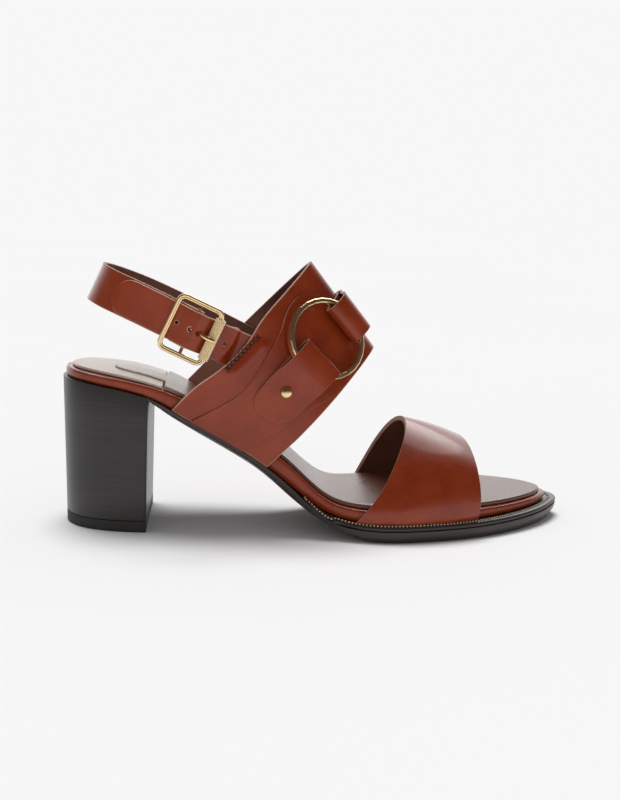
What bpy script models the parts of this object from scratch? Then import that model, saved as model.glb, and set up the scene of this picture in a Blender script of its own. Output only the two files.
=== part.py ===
import math

import bmesh
import bpy
from mathutils import Matrix, Vector

# All tables are in millimetres, the model is in metres
MM = 0.001
GAP = 0.3
BOARD_STAND_OFF = 0.65
FOOT_LIFT = 0.15

BAND_THICK = 2.2
VAMP_THICK = 2.2
OVERLAY_THICK = 1.0
TAB_THICK = 1.2
STRAP_THICK = 1.5
TAIL_THICK = 1.6
STRAP_WIDTH = 17.6
SOCK_THICK = 1.6
PAD_THICK = 1.0
WELT_THICK = 2.0
HEEL_TIP_HEIGHT = 5.0

RING_RADIUS = 18.3
RING_WALL = 1.8
RING_HEIGHT = 3.6
RING_SIDES = 28
RING_LIFT = 4.9
RING_AT = (64.0, 0.55)

STUD_RADIUS = 2.5
STUD_HEIGHT = 2.1

BUCKLE_LENGTH = 22.2
BUCKLE_WIDTH = 26.7
BUCKLE_WIRE = 1.15
BUCKLE_CORNER = 4.0
BUCKLE_LIFT = 5.65
CENTRE_BAR_LIFT = 1.85
CENTRE_BAR_RADIUS = 0.8
SLEEVE_RADIUS = 2.3
SLEEVE_BORE = 1.45
SLEEVE_LENGTH = 19.4
PRONG_RADIUS = 0.7

# Side profile of the shoe, heights above the floor
# x, board top, board bottom, outsole bottom at its edge, sag of the outsole's middle
PROFILE = [
    (0.0, 72.0, 67.6, 60.0, 0.0),
    (10.0, 71.2, 66.8, 60.0, 0.0),
    (20.0, 69.9, 65.4, 60.0, 0.0),
    (30.0, 68.2, 63.7, 59.6, 0.0),
    (40.0, 65.8, 60.8, 58.6, 2.2),
    (47.0, 63.4, 57.2, 55.0, 4.2),
    (54.0, 60.4, 52.9, 50.6, 4.8),
    (62.0, 56.2, 48.3, 46.0, 4.8),
    (70.0, 51.6, 43.8, 41.4, 4.8),
    (78.0, 46.8, 39.2, 36.7, 4.7),
    (86.0, 42.0, 34.2, 31.4, 4.5),
    (93.0, 37.6, 29.4, 26.3, 4.3),
    (100.0, 32.4, 24.0, 20.0, 3.9),
    (107.0, 26.2, 18.6, 14.2, 3.2),
    (114.0, 20.2, 13.9, 9.3, 2.4),
    (120.0, 16.4, 10.9, 6.3, 1.6),
    (128.0, 14.2, 8.9, 3.4, 0.8),
    (136.0, 13.7, 8.2, 1.1, 0.2),
    (144.0, 13.4, 8.0, 0.0, 0.0),
    (160.0, 13.0, 8.0, 0.0, 0.0),
    (180.0, 12.5, 8.0, 0.0, 0.0),
    (200.0, 12.0, 8.2, 0.1, 0.0),
    (216.0, 11.9, 8.7, 0.9, 0.0),
    (233.0, 12.3, 9.5, 2.3, 0.0),
]

# Insole board outline: x and y of the lateral edge, x and y of the medial edge
BOARD_RIBS = [
    (1.3, -2.2, 1.3, 2.2),
    (2.4, -6.6, 2.4, 6.6),
    (5.2, -12.4, 5.2, 12.4),
    (10.0, -17.6, 10.0, 17.6),
    (16.0, -21.0, 16.0, 21.0),
    (23.0, -23.4, 23.0, 23.4),
    (31.0, -25.0, 31.0, 24.9),
    (39.7, -25.4, 39.7, 25.2),
    (45.0, -25.1, 45.0, 24.8),
    (50.0, -24.5, 50.0, 24.0),
    (60.0, -23.5, 60.0, 21.9),
    (70.0, -23.0, 70.0, 19.8),
    (80.0, -22.9, 80.0, 17.8),
    (90.0, -23.5, 90.0, 16.2),
    (100.0, -25.2, 100.0, 15.6),
    (107.0, -27.2, 107.0, 16.0),
    (114.0, -29.8, 114.0, 17.4),
    (121.0, -32.6, 121.0, 20.2),
    (130.0, -35.6, 130.0, 25.0),
    (140.0, -37.7, 140.0, 29.6),
    (150.0, -38.2, 150.0, 32.8),
    (160.0, -36.8, 160.0, 34.6),
    (170.0, -34.4, 170.0, 35.4),
    (180.0, -31.0, 180.0, 35.2),
    (190.0, -26.2, 190.0, 34.4),
    (200.0, -20.6, 200.0, 32.4),
    (208.0, -15.0, 209.0, 29.2),
    (214.6, -9.6, 216.0, 25.2),
    (219.8, -4.2, 221.2, 20.4),
    (223.8, 1.6, 224.6, 15.2),
    (226.0, 6.6, 226.3, 10.8),
]

# Outsole outline: x and y of the lateral edge, x and y of the medial edge
SOLE_RIBS = [
    (39.7, -26.4, 39.7, 26.2),
    (45.0, -27.2, 45.0, 26.8),
    (50.0, -27.2, 50.0, 26.6),
    (60.0, -26.2, 60.0, 24.5),
    (70.0, -25.7, 70.0, 22.4),
    (80.0, -25.6, 80.0, 20.4),
    (90.0, -26.2, 90.0, 18.9),
    (100.0, -28.2, 100.0, 18.4),
    (107.0, -30.6, 107.0, 19.0),
    (114.0, -33.6, 114.0, 20.8),
    (121.0, -36.8, 121.0, 23.8),
    (130.0, -40.2, 130.0, 28.8),
    (140.0, -42.4, 140.0, 33.5),
    (150.0, -42.8, 150.0, 37.0),
    (160.0, -41.4, 160.0, 39.1),
    (170.0, -39.2, 170.0, 40.0),
    (180.0, -36.2, 180.0, 40.0),
    (190.0, -32.0, 190.0, 39.4),
    (200.0, -26.6, 200.0, 37.8),
    (209.0, -20.6, 209.6, 35.0),
    (216.4, -14.6, 217.4, 31.2),
    (222.6, -8.2, 223.6, 26.4),
    (227.6, -1.4, 228.4, 20.6),
    (230.8, 4.4, 231.2, 15.0),
    (232.2, 8.2, 232.3, 11.2),
]

# Heel outline at its top: x and y of the lateral edge, x and y of the medial edge
HEEL_RIBS = [
    (0.0, -2.6, 0.0, 2.6),
    (1.2, -8.0, 1.2, 8.0),
    (4.2, -13.8, 4.2, 13.8),
    (9.0, -18.8, 9.0, 18.8),
    (15.0, -22.4, 15.0, 22.4),
    (22.0, -24.9, 22.0, 24.9),
    (30.0, -26.5, 30.0, 26.5),
    (38.2, -27.1, 38.2, 27.1),
    (39.4, -26.2, 39.4, 26.2),
]

# Tongue of the sock, on the heel seat: x and half width
TONGUE = [
    (23.6, 2.4),
    (24.8, 5.2),
    (27.6, 7.6),
    (32.0, 8.9),
    (38.0, 9.5),
    (45.8, 9.9),
]
TONGUE_MIDDLE = 1.0
PAD_END = 45.6

# The instep band is square to a slope of this angle, a runs up it and b forward and down
SLOPE = math.radians(46.5)
BAND_REAR = -2.0
BAND_FRONT = 46.0

# Instep band, outer face from the lateral to the medial foot
# y and a of the rear edge, y and a of the front edge
INSTEP = [
    (-27.0, 74.4, -26.1, 84.9),
    (-28.6, 86.0, -27.9, 94.0),
    (-29.4, 98.0, -28.8, 103.0),
    (-29.4, 110.0, -28.5, 112.0),
    (-28.2, 120.5, -26.9, 120.5),
    (-25.4, 130.5, -23.8, 129.0),
    (-21.0, 140.0, -19.4, 137.0),
    (-15.2, 149.5, -14.0, 145.0),
    (-8.2, 158.0, -8.0, 151.6),
    (-3.2, 162.3, -3.6, 155.0),
    (1.0, 163.6, 0.6, 156.2),
    (5.2, 161.8, 4.6, 154.6),
    (10.2, 156.0, 9.2, 149.6),
    (15.2, 146.5, 13.4, 141.5),
    (19.4, 134.5, 16.8, 131.0),
    (22.8, 121.0, 19.2, 119.5),
    (25.0, 106.5, 20.4, 108.0),
    (26.2, 91.0, 20.4, 97.0),
    (26.5, 75.0, 18.7, 85.0),
]

# Hollow of the instep band's rear edge on the lateral side: place along it, share cut away
REAR_HOLLOW = [
    (0.0, 0.0),
    (10.0, 0.0),
    (14.0, 0.006),
    (18.0, 0.02),
    (22.0, 0.034),
    (27.0, 0.05),
    (32.0, 0.054),
    (38.0, 0.053),
    (42.0, 0.046),
    (47.0, 0.022),
    (52.0, 0.006),
    (57.0, 0.0),
]

# Vamp strap, outer face from the lateral to the medial foot
# x, y, z of the back edge, of the middle and of the front edge
VAMP = [
    (130.9, -38.3, 8.0, 159.5, -39.3, 8.0, 186.6, -30.3, 8.2),
    (134.0, -39.6, 11.8, 160.8, -40.6, 12.0, 187.2, -31.6, 12.5),
    (137.3, -39.5, 16.4, 162.4, -40.4, 17.0, 187.5, -31.4, 17.5),
    (140.8, -37.8, 21.2, 164.2, -38.3, 22.5, 187.4, -29.6, 22.6),
    (144.2, -34.8, 26.2, 165.8, -34.8, 27.8, 187.1, -26.2, 27.2),
    (147.6, -30.4, 31.6, 167.4, -29.8, 32.8, 186.8, -21.6, 31.0),
    (151.2, -23.8, 37.6, 168.9, -23.0, 37.4, 186.2, -15.6, 34.6),
    (154.2, -15.4, 43.2, 170.0, -14.8, 41.2, 185.5, -8.6, 37.4),
    (155.9, -6.2, 47.0, 170.5, -5.8, 43.6, 184.6, -1.0, 39.0),
    (155.6, 3.0, 48.4, 170.0, 3.4, 44.6, 183.8, 6.8, 39.2),
    (153.4, 11.6, 46.4, 168.6, 12.4, 43.6, 183.1, 14.2, 37.6),
    (150.0, 19.0, 41.2, 166.6, 20.6, 40.2, 182.6, 21.2, 34.2),
    (146.0, 25.0, 33.4, 164.2, 27.6, 34.2, 182.2, 27.6, 29.2),
    (141.8, 28.8, 24.4, 161.8, 33.0, 26.0, 182.0, 33.0, 22.6),
    (137.8, 30.4, 15.6, 159.8, 36.0, 16.8, 182.0, 36.6, 15.2),
    (134.6, 29.6, 8.0, 158.6, 36.6, 8.0, 182.2, 37.8, 8.2),
]

# Slingback path, middle of the strap from the medial band round the heel to the lateral band
# p runs forward and down the strap, y across, q is the height square to p
SLING_TILT = math.radians(24.9)
SLING = [
    (46.0, 17.9, 106.4),
    (34.0, 19.4, 106.4),
    (26.0, 21.2, 106.4),
    (14.0, 22.6, 106.3),
    (0.0, 23.2, 106.2),
    (-10.0, 22.5, 106.1),
    (-18.0, 20.0, 105.9),
    (-24.5, 15.6, 105.7),
    (-29.6, 9.4, 105.6),
    (-32.2, 3.0, 105.6),
    (-32.2, -3.0, 105.7),
    (-29.8, -9.6, 106.0),
    (-25.0, -15.8, 106.5),
    (-18.5, -20.4, 107.1),
    (-10.5, -23.2, 107.5),
    (0.0, -24.6, 107.6),
    (4.0, -24.7, 107.6),
    (14.0, -24.7, 107.6),
    (24.0, -24.7, 107.6),
    (34.0, -23.9, 107.6),
    (46.0, -22.9, 107.6),
]
BUCKLE_AT = 14.0

# Tail strap: distance forward of the centre bar, height over the slingback path, half width
TAIL = [
    (31.5, 0.4, 8.2),
    (26.0, 0.4, 8.2),
    (19.5, 0.6, 8.2),
    (14.5, 1.7, 8.2),
    (11.8, 2.1, 8.2),
    (9.9, 2.2, 8.2),
    (8.4, 2.45, 8.2),
    (7.2, 3.3, 8.2),
    (6.0, 4.4, 8.2),
    (4.6, 5.3, 8.2),
    (2.8, 5.75, 8.2),
    (0.8, 5.8, 8.2),
    (-1.2, 5.6, 8.2),
    (-3.6, 4.9, 8.2),
    (-6.6, 3.95, 8.2),
    (-9.9, 3.3, 8.2),
    (-13.9, 2.6, 8.2),
    (-19.0, 2.05, 8.2),
    (-25.0, 1.95, 8.2),
    (-29.0, 1.95, 8.2),
    (-31.5, 1.95, 7.8),
    (-33.4, 1.95, 6.7),
    (-34.9, 1.95, 4.9),
    (-35.8, 1.95, 3.0),
    (-36.2, 1.95, 1.4),
]

# Back strap where it turns round the centre bar: the first two columns again
FOLD = [
    (0.0, 0.0),
    (0.92, 0.25),
    (1.6, 0.92),
    (1.85, 1.85),
    (1.6, 2.78),
    (0.92, 3.45),
    (0.0, 3.7),
    (-1.6, 3.6),
    (-3.2, 3.1),
    (-4.8, 2.5),
    (-6.6, 1.95),
]

# Overlay on the lateral side: place along the band, start and end across it
OVERLAY = [
    (0.0, 0.20, 0.74),
    (8.0, 0.26, 0.775),
    (13.0, 0.295, 0.80),
    (18.0, 0.32, 0.82),
    (23.0, 0.33, 0.835),
    (28.0, 0.325, 0.855),
    (33.0, 0.31, 0.875),
    (38.0, 0.285, 0.90),
    (43.0, 0.26, 0.93),
    (48.0, 0.235, 0.958),
    (54.0, 0.19, 0.985),
    (60.0, 0.13, 0.985),
    (66.0, 0.105, 0.985),
    (71.0, 0.115, 0.985),
    (75.0, 0.155, 0.985),
    (77.5, 0.21, 0.985),
    (79.3, 0.29, 0.98),
    (80.2, 0.39, 0.965),
    (80.6, 0.52, 0.93),
]

# Tabs round the ring: place along the band, height over it, middle and half width across
LOWER_TAB = [
    (21.4, 2.35, 0.6225, 0.060),
    (21.8, 2.35, 0.6225, 0.098),
    (22.8, 2.35, 0.6225, 0.138),
    (24.6, 2.4, 0.6225, 0.172),
    (27.2, 2.7, 0.6225, 0.196),
    (30.4, 3.4, 0.6225, 0.2075),
    (34.0, 3.75, 0.6225, 0.2075),
    (37.4, 4.15, 0.6225, 0.2075),
    (40.2, 5.5, 0.6225, 0.2075),
    (42.8, 7.7, 0.6225, 0.2075),
    (45.4, 9.3, 0.6225, 0.2075),
    (48.8, 9.8, 0.6225, 0.2075),
    (53.2, 9.75, 0.6225, 0.2075),
    (55.4, 9.2, 0.6225, 0.2075),
    (56.8, 7.85, 0.6225, 0.2075),
    (57.3, 5.8, 0.6225, 0.2075),
    (56.8, 3.75, 0.6225, 0.2075),
    (55.3, 2.5, 0.6225, 0.2075),
    (53.2, 2.15, 0.6225, 0.2075),
    (48.0, 2.2, 0.6225, 0.2075),
    (43.0, 2.2, 0.6225, 0.2075),
    (38.0, 2.2, 0.6225, 0.2075),
    (33.0, 2.2, 0.6225, 0.2075),
]
UPPER_TAB = [
    (122.4, 1.3, 0.5925, 0.060),
    (122.0, 1.3, 0.5925, 0.098),
    (121.0, 1.3, 0.5925, 0.138),
    (119.2, 1.4, 0.5925, 0.172),
    (116.6, 1.8, 0.5925, 0.196),
    (113.4, 2.65, 0.5925, 0.2075),
    (109.0, 2.75, 0.5925, 0.2075),
    (104.0, 2.75, 0.5925, 0.2075),
    (99.0, 2.75, 0.5925, 0.2075),
    (95.0, 2.75, 0.5925, 0.2075),
    (92.0, 2.8, 0.5775, 0.1925),
    (89.6, 3, 0.5775, 0.1925),
    (87.8, 3.5, 0.5775, 0.1925),
    (86.4, 4.8, 0.5775, 0.1925),
    (85.2, 6.5, 0.5775, 0.1925),
    (84.0, 8.2, 0.5775, 0.1925),
    (82.4, 9.6, 0.5775, 0.1925),
    (80.3, 10.2, 0.5775, 0.1925),
    (77.8, 10.2, 0.5775, 0.1925),
    (75.6, 9.6, 0.5775, 0.1925),
    (74.2, 8.2, 0.5775, 0.1925),
    (73.7, 6.4, 0.5775, 0.1925),
    (74.1, 4.6, 0.5775, 0.1925),
    (75.5, 3.2, 0.5775, 0.1925),
    (77.8, 2.45, 0.5775, 0.1925),
    (80.6, 2.2, 0.5775, 0.1925),
    (83.6, 1.75, 0.5775, 0.1925),
    (86.5, 1.15, 0.5775, 0.1925),
    (89.5, 1.15, 0.5775, 0.1925),
    (93.0, 1.15, 0.5925, 0.2075),
    (98.0, 1.15, 0.5925, 0.2075),
    (103.0, 1.15, 0.5925, 0.2075),
    (108.0, 1.15, 0.5925, 0.2075),
]

# Studs: place along the band, across it, and the height of the stud's foot
STUDS = {
    "stud_lateral": (35.5, 0.606, 5.15),
    "stud_medial": (111.5, 0.5925, 3.7),
}
TAIL_HOLES = [-6.8, -0.4, 15.6]
TAIL_HOLE_RADIUS = 0.95
PRONG_HOLE = 4.1

# Prong, from its hook under the centre bar to its tip on the sleeve
PRONG = [
    (-0.6, 0.15),
    (-1.55, 0.9),
    (-1.8, 1.85),
    (-1.4, 3.0),
    (-0.3, 3.6),
    (1.6, 3.85),
    (3.2, 4.5),
    (4.5, 5.6),
    (5.8, 7.0),
    (7.6, 8.4),
    (9.9, 9.0),
    (11.8, 8.95),
]


def bend(table, column, x):
    # Monotone cubic through one column of a table
    if x <= table[0][0]:
        return table[0][column]
    if x >= table[-1][0]:
        return table[-1][column]
    steps = [b[0] - a[0] for a, b in zip(table, table[1:])]
    slopes = [(b[column] - a[column]) / s for a, b, s in zip(table, table[1:], steps)]
    tangents = [slopes[0]]
    for before, after in zip(slopes, slopes[1:]):
        tangents.append(0.0 if before * after <= 0 else 2 * before * after / (before + after))
    tangents.append(slopes[-1])
    i = max(k for k in range(len(steps)) if table[k][0] <= x)
    t = (x - table[i][0]) / steps[i]
    a, b = table[i][column], table[i + 1][column]
    ta, tb = tangents[i] * steps[i], tangents[i + 1] * steps[i]
    return ((2 * t ** 3 - 3 * t ** 2 + 1) * a + (t ** 3 - 2 * t ** 2 + t) * ta
            + (3 * t ** 2 - 2 * t ** 3) * b + (t ** 3 - t ** 2) * tb)


def through(points, at, x):
    # Cubic spline through points, whose places along the curve are the numbers in at
    x = min(max(x, at[0]), at[-1])
    i = max(k for k in range(len(at) - 1) if at[k] <= x)
    last = len(points) - 1
    h = at[i + 1] - at[i]
    t = (x - at[i]) / h

    def tangent(k):
        lo, hi = max(k - 1, 0), min(k + 1, last)
        return (points[hi] - points[lo]) / (at[hi] - at[lo]) * h

    return ((2 * t ** 3 - 3 * t ** 2 + 1) * points[i] + (t ** 3 - 2 * t ** 2 + t) * tangent(i)
            + (3 * t ** 2 - 2 * t ** 3) * points[i + 1] + (t ** 3 - t ** 2) * tangent(i + 1))


def places(points):
    at = [0.0]
    for a, b in zip(points, points[1:]):
        at.append(at[-1] + (b - a).length)
    return at


def board_top(x):
    return bend(PROFILE, 1, x)


def board_bottom(x):
    return bend(PROFILE, 2, x)


def board_edge(x, side):
    # y of the board's outline, side -1 lateral and 1 medial
    rows = [(r[0], r[1]) if side < 0 else (r[2], r[3]) for r in BOARD_RIBS]
    return bend(rows, 1, x)


def welt_share(x):
    # The welt starts behind the ball and is at its full thickness from there on
    return min(max((x - 104.0) / 15.0, 0.12), 1.0)


def sole_half(x):
    rows = [(r[0], (r[3] - r[1]) / 2, (r[3] + r[1]) / 2) for r in SOLE_RIBS]
    return bend(rows, 1, x), bend(rows, 2, x)


def outsole_top(x):
    welt = 0.0 if x < 103.0 else welt_share(x) * WELT_THICK + GAP
    return board_bottom(x) - GAP - welt


def outsole_bottom(x, y):
    half, middle = sole_half(x)
    across = min(abs(y - middle) / max(half, 1.0), 1.0)
    return bend(PROFILE, 3, x) - bend(PROFILE, 4, x) * (1 - across ** 2)


class Arch:
    """A strap's outer face, from its lateral foot over the ridge to its medial foot.

    Each foot stands beside the insole board, and keeps clear of it up to the height hold.
    """

    def __init__(self, guides, thick, hold):
        self.guides = guides
        self.thick = thick
        self.hold = hold
        middle = [self.mix([g[i] for g in guides], 0.5) for i in range(len(guides[0]))]
        self.at = places(middle)
        self.length = self.at[-1]

    def mix(self, points, s):
        if len(points) == 2:
            return points[0] * (1 - s) + points[1] * s
        return (points[0] * (2 * (s - 0.5) * (s - 1)) + points[1] * (4 * s * (1 - s))
                + points[2] * (2 * s * (s - 0.5)))

    def face(self, l, s):
        inside = min(max(l, 0.0), self.length)
        point = self.mix([through(g, self.at, inside) for g in self.guides], s)
        for side, gone in ((-1, inside), (1, self.length - inside)):
            share = min(max((gone - self.hold) / 12.0, 0.0), 1.0)
            if share < 1.0:
                end = self.mix([g[0 if side < 0 else -1] for g in self.guides], s)
                foot_y = board_edge(end.x, side) + side * (BOARD_STAND_OFF + self.thick)
                foot = Vector((0.0, foot_y - end.y, board_bottom(end.x) + FOOT_LIFT - end.z))
                point = point + foot * (1 - 3 * share ** 2 + 2 * share ** 3)
        if l < 0.0:
            point = point + Vector((0.0, 0.0, l))
        if l > self.length:
            point = point + Vector((0.0, 0.0, self.length - l))
        return point

    def __call__(self, l, s, h):
        step = 0.4
        lo, hi = max(l - step, 0.0), min(l + step, self.length)
        along = self.face(hi, s) - self.face(lo, s)
        across = self.face(l, min(s + 0.02, 1.0)) - self.face(l, max(s - 0.02, 0.0))
        normal = across.cross(along).normalized()
        normal.z *= min(min(max(l, 0.0), max(self.length - l, 0.0)) / 3.0, 1.0)
        return self.face(l, s) + normal.normalized() * h


def sloped(y, a, b):
    return Vector((a * math.cos(SLOPE) + b * math.sin(SLOPE), y,
                   a * math.sin(SLOPE) - b * math.cos(SLOPE)))


INSTEP_FACE = Arch([[sloped(r[0], r[1], BAND_REAR) for r in INSTEP],
                    [sloped(r[2], r[3], BAND_FRONT) for r in INSTEP]], BAND_THICK, 11.0)
VAMP_FACE = Arch([[Vector(r[0:3]) for r in VAMP], [Vector(r[3:6]) for r in VAMP],
                  [Vector(r[6:9]) for r in VAMP]], VAMP_THICK, 5.0)


class Sling:
    """The slingback's middle surface: l along it, s across it in mm, h outward."""

    def __init__(self):
        self.points = [Vector(r) for r in SLING]
        self.at = places(self.points)
        self.length = self.at[-1]
        row = [r[0] for r in SLING].index(BUCKLE_AT, 10)
        self.buckle = self.at[row]

    def place(self, point):
        c, s = math.cos(SLING_TILT), math.sin(SLING_TILT)
        return Vector((point.x * c + point.z * s, point.y, -point.x * s + point.z * c))

    def __call__(self, l, s, h):
        base = through(self.points, self.at, l)
        ahead = through(self.points, self.at, min(l + 0.3, self.length))
        behind = through(self.points, self.at, max(l - 0.3, 0.0))
        along = ahead - behind
        out = Vector((along.y, -along.x, 0.0)).normalized()
        return self.place(base + out * h + Vector((0.0, 0.0, s)))


SLING_FACE = Sling()
MIDDLE_X = (HEEL_RIBS[0][0] + SOLE_RIBS[-1][0]) / 2
MIDDLE_Y = (min(r[1] for r in SOLE_RIBS) + max(r[3] for r in SOLE_RIBS)) / 2


def world(point):
    return Vector((point[0] - MIDDLE_X, point[1] - MIDDLE_Y, point[2])) * MM


def material(name, colour, metallic, roughness):
    made = bpy.data.materials.new(name)
    made.use_nodes = True
    shader = made.node_tree.nodes["Principled BSDF"]
    shader.inputs["Base Color"].default_value = (*colour, 1.0)
    shader.inputs["Metallic"].default_value = metallic
    shader.inputs["Roughness"].default_value = roughness
    return made


for old in list(bpy.data.objects):
    bpy.data.objects.remove(old)
SHOE = bpy.data.collections.new("block_heel_sandal")
CUTTERS = bpy.data.collections.new("cutters")
bpy.context.scene.collection.children.link(SHOE)
bpy.context.scene.collection.children.link(CUTTERS)

UPPER_LEATHER = material("upper_leather", (0.24, 0.05, 0.02), 0.0, 0.35)
SOCK_LEATHER = material("sock_leather", (0.30, 0.17, 0.12), 0.0, 0.35)
SOLE_LEATHER = material("sole_leather", (0.045, 0.032, 0.028), 0.0, 0.45)
HEEL_STACK = material("heel_stack", (0.035, 0.027, 0.024), 0.0, 0.4)
TIP_RUBBER = material("tip_rubber", (0.02, 0.018, 0.017), 0.0, 0.6)
BRASS = material("brass", (0.80, 0.56, 0.24), 1.0, 0.2)


def add(name, mesh, look, collection=None):
    piece = bpy.data.objects.new(name, mesh)
    (collection or SHOE).objects.link(piece)
    if look:
        mesh.materials.append(look)
    if collection is CUTTERS:
        piece.hide_render = True
        piece.display_type = "WIRE"
    return piece


def loft(name, rings, look, caps, collection=None):
    # Walls between rings of points, closed at both ends by the faces listed in caps
    body = bmesh.new()
    rows = [[body.verts.new(world(p)) for p in ring] for ring in rings]
    count = len(rings[0])
    for a, b in zip(rows, rows[1:]):
        for k in range(count):
            n = (k + 1) % count
            body.faces.new((a[k], a[n], b[n], b[k]))
    for face in caps:
        body.faces.new([rows[0][k] for k in reversed(face)])
        body.faces.new([rows[-1][k] for k in face])
    bmesh.ops.recalc_face_normals(body, faces=body.faces)
    mesh = bpy.data.meshes.new(name)
    body.to_mesh(mesh)
    body.free()
    return add(name, mesh, look, collection)


def ladder(lower, upper):
    # Faces between two rows of a ring that lie over each other
    return [(lower[i], lower[i + 1], upper[i + 1], upper[i]) for i in range(len(lower) - 1)]


def inset(ribs, depth):
    # The outline moved inward, square to itself
    loop = [Vector(r[0:2]) for r in ribs] + [Vector(r[2:4]) for r in reversed(ribs)]
    area = sum(a.x * b.y - b.x * a.y for a, b in zip(loop, loop[1:] + loop[:1]))
    turn = 1.0 if area > 0 else -1.0
    moved = []
    for i, point in enumerate(loop):
        before = (point - loop[i - 1]).normalized()
        after = (loop[(i + 1) % len(loop)] - point).normalized()
        normal = Vector((-(before.y + after.y), before.x + after.x)) * turn
        spread = max(normal.length / 2, 0.6)
        moved.append(point + normal.normalized() * depth / spread)
    count = len(ribs)
    return [(*moved[i], *moved[2 * count - 1 - i]) for i in range(count)]


def plate(name, ribs, top, bottom, edge, across, look):
    # A layer between two heights, its edge given as rows of inset and share of the height
    edges = [inset(ribs, depth) for depth, _ in edge]
    rings = []
    for i in range(len(ribs)):
        low = []
        for (depth, share), moved in zip(edge, edges):
            x, y = moved[i][0:2]
            low.append((x, y, bottom(x, y) * (1 - share) + top(x, y) * share))
        high = []
        for (depth, share), moved in reversed(list(zip(edge, edges))):
            x, y = moved[i][2:4]
            high.append((x, y, bottom(x, y) * (1 - share) + top(x, y) * share))
        a, b = Vector(low[-1][0:2]), Vector(high[0][0:2])
        over = []
        for k in range(1, across):
            p = a.lerp(b, k / across)
            over.append((p.x, p.y, top(p.x, p.y)))
        a, b = Vector(high[-1][0:2]), Vector(low[0][0:2])
        under = []
        for k in range(1, across):
            p = a.lerp(b, k / across)
            under.append((p.x, p.y, bottom(p.x, p.y)))
        rings.append(low + over + high + under)
    caps = [list(range(len(rings[0])))]
    return loft(name, rings, look, caps)


def strap(name, face, rows, thick, across, look):
    # rows: place along, height of the middle, start and end across
    rings = []
    for i, (l, h, s0, s1) in enumerate(rows):
        before = rows[max(i - 1, 0)]
        after = rows[min(i + 1, len(rows) - 1)]
        dl, dh = after[0] - before[0], after[1] - before[1]
        size = math.hypot(dl, dh)
        nl, nh = -dh / size * thick / 2, dl / size * thick / 2
        shares = [s0 + (s1 - s0) * k / across for k in range(across + 1)]
        ring = [face(l + nl, s, h + nh) for s in shares]
        ring += [face(l - nl, s, h - nh) for s in reversed(shares)]
        rings.append(ring)
    over = list(range(across + 1))
    under = list(range(2 * across + 1, across, -1))
    return loft(name, rings, look, ladder(under, over))


def lathe(name, outline, matrix, steps, look, collection=None):
    # A closed outline of radius and height turned about Z
    mesh = bpy.data.meshes.new(name)
    count = len(outline)
    points = [(r * MM, 0.0, z * MM) for r, z in outline]
    mesh.from_pydata(points, [(k, (k + 1) % count) for k in range(count)], [])
    piece = add(name, mesh, look, collection)
    turn = piece.modifiers.new("turn", "SCREW")
    turn.axis = "Z"
    turn.steps = steps
    turn.render_steps = steps
    turn.use_merge_vertices = True
    turn.merge_threshold = 0.00001
    turn.use_normal_flip = True
    piece.matrix_world = matrix
    return piece


def frame_at(origin, z_axis, x_hint):
    z = z_axis.normalized()
    x = (x_hint - z * x_hint.dot(z)).normalized()
    y = z.cross(x)
    place = Matrix((x, y, z)).transposed().to_4x4()
    place.translation = world(origin)
    return place


def subtract(piece, cutter):
    cut = piece.modifiers.new("cut", "BOOLEAN")
    cut.operation = "DIFFERENCE"
    cut.solver = "EXACT"
    cut.object = cutter


def block(name, corner, size, place):
    # A box given by its low corner and its size, for cutting
    body = bmesh.new()
    bmesh.ops.create_cube(body, size=1.0)
    for v in body.verts:
        v.co = Vector([(c + s * (t + 0.5)) * MM for c, s, t in zip(corner, size, v.co)])
    mesh = bpy.data.meshes.new(name)
    body.to_mesh(mesh)
    body.free()
    cutter = add(name, mesh, None, CUTTERS)
    cutter.matrix_world = place
    return cutter


def pin(name, centre, radii, depth, place):
    # A round or oval pin along Z, for cutting
    body = bmesh.new()
    bmesh.ops.create_cone(body, cap_ends=True, segments=14, radius1=1.0, radius2=1.0, depth=1.0)
    for v in body.verts:
        v.co = Vector((centre[0] + v.co.x * radii[0], centre[1] + v.co.y * radii[1],
                       centre[2] + v.co.z * depth)) * MM
    mesh = bpy.data.meshes.new(name)
    body.to_mesh(mesh)
    body.free()
    cutter = add(name, mesh, None, CUTTERS)
    cutter.matrix_world = place
    return cutter


def wire(name, points, radius, closed, look, place, rounds=2):
    # A round wire along points, given in millimetres in the frame of place
    curve = bpy.data.curves.new(name, "CURVE")
    curve.dimensions = "3D"
    curve.bevel_depth = radius * MM
    curve.bevel_resolution = rounds
    curve.use_fill_caps = True
    line = curve.splines.new("POLY")
    line.points.add(len(points) - 1)
    for p, target in zip(points, line.points):
        target.co = (p[0] * MM, p[1] * MM, p[2] * MM, 1.0)
    line.use_cyclic_u = closed
    shaped = bpy.data.objects.new(name + "_line", curve)
    CUTTERS.objects.link(shaped)
    bpy.context.view_layer.update()
    mesh = bpy.data.meshes.new_from_object(shaped)
    bpy.data.objects.remove(shaped)
    mesh.name = name
    body = bmesh.new()
    body.from_mesh(mesh)
    bmesh.ops.remove_doubles(body, verts=body.verts, dist=0.000001)
    bmesh.ops.recalc_face_normals(body, faces=body.faces)
    body.to_mesh(mesh)
    body.free()
    mesh.materials.clear()
    piece = add(name, mesh, look)
    piece.matrix_world = place
    return piece


# Sole, heel and insole
plate("outsole", SOLE_RIBS, lambda x, y: outsole_top(x), outsole_bottom,
      [(2.0, 0.0), (0.5, 0.45), (0.0, 1.0)], 6, SOLE_LEATHER)

WELT_RIBS = [r for r in SOLE_RIBS if r[0] >= 107.0]
plate("welt", WELT_RIBS, lambda x, y: board_bottom(x) - GAP,
      lambda x, y: outsole_top(x) + GAP, [(0.4, 0.0), (0.0, 0.5), (0.4, 1.0)], 3, SOLE_LEATHER)

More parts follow.
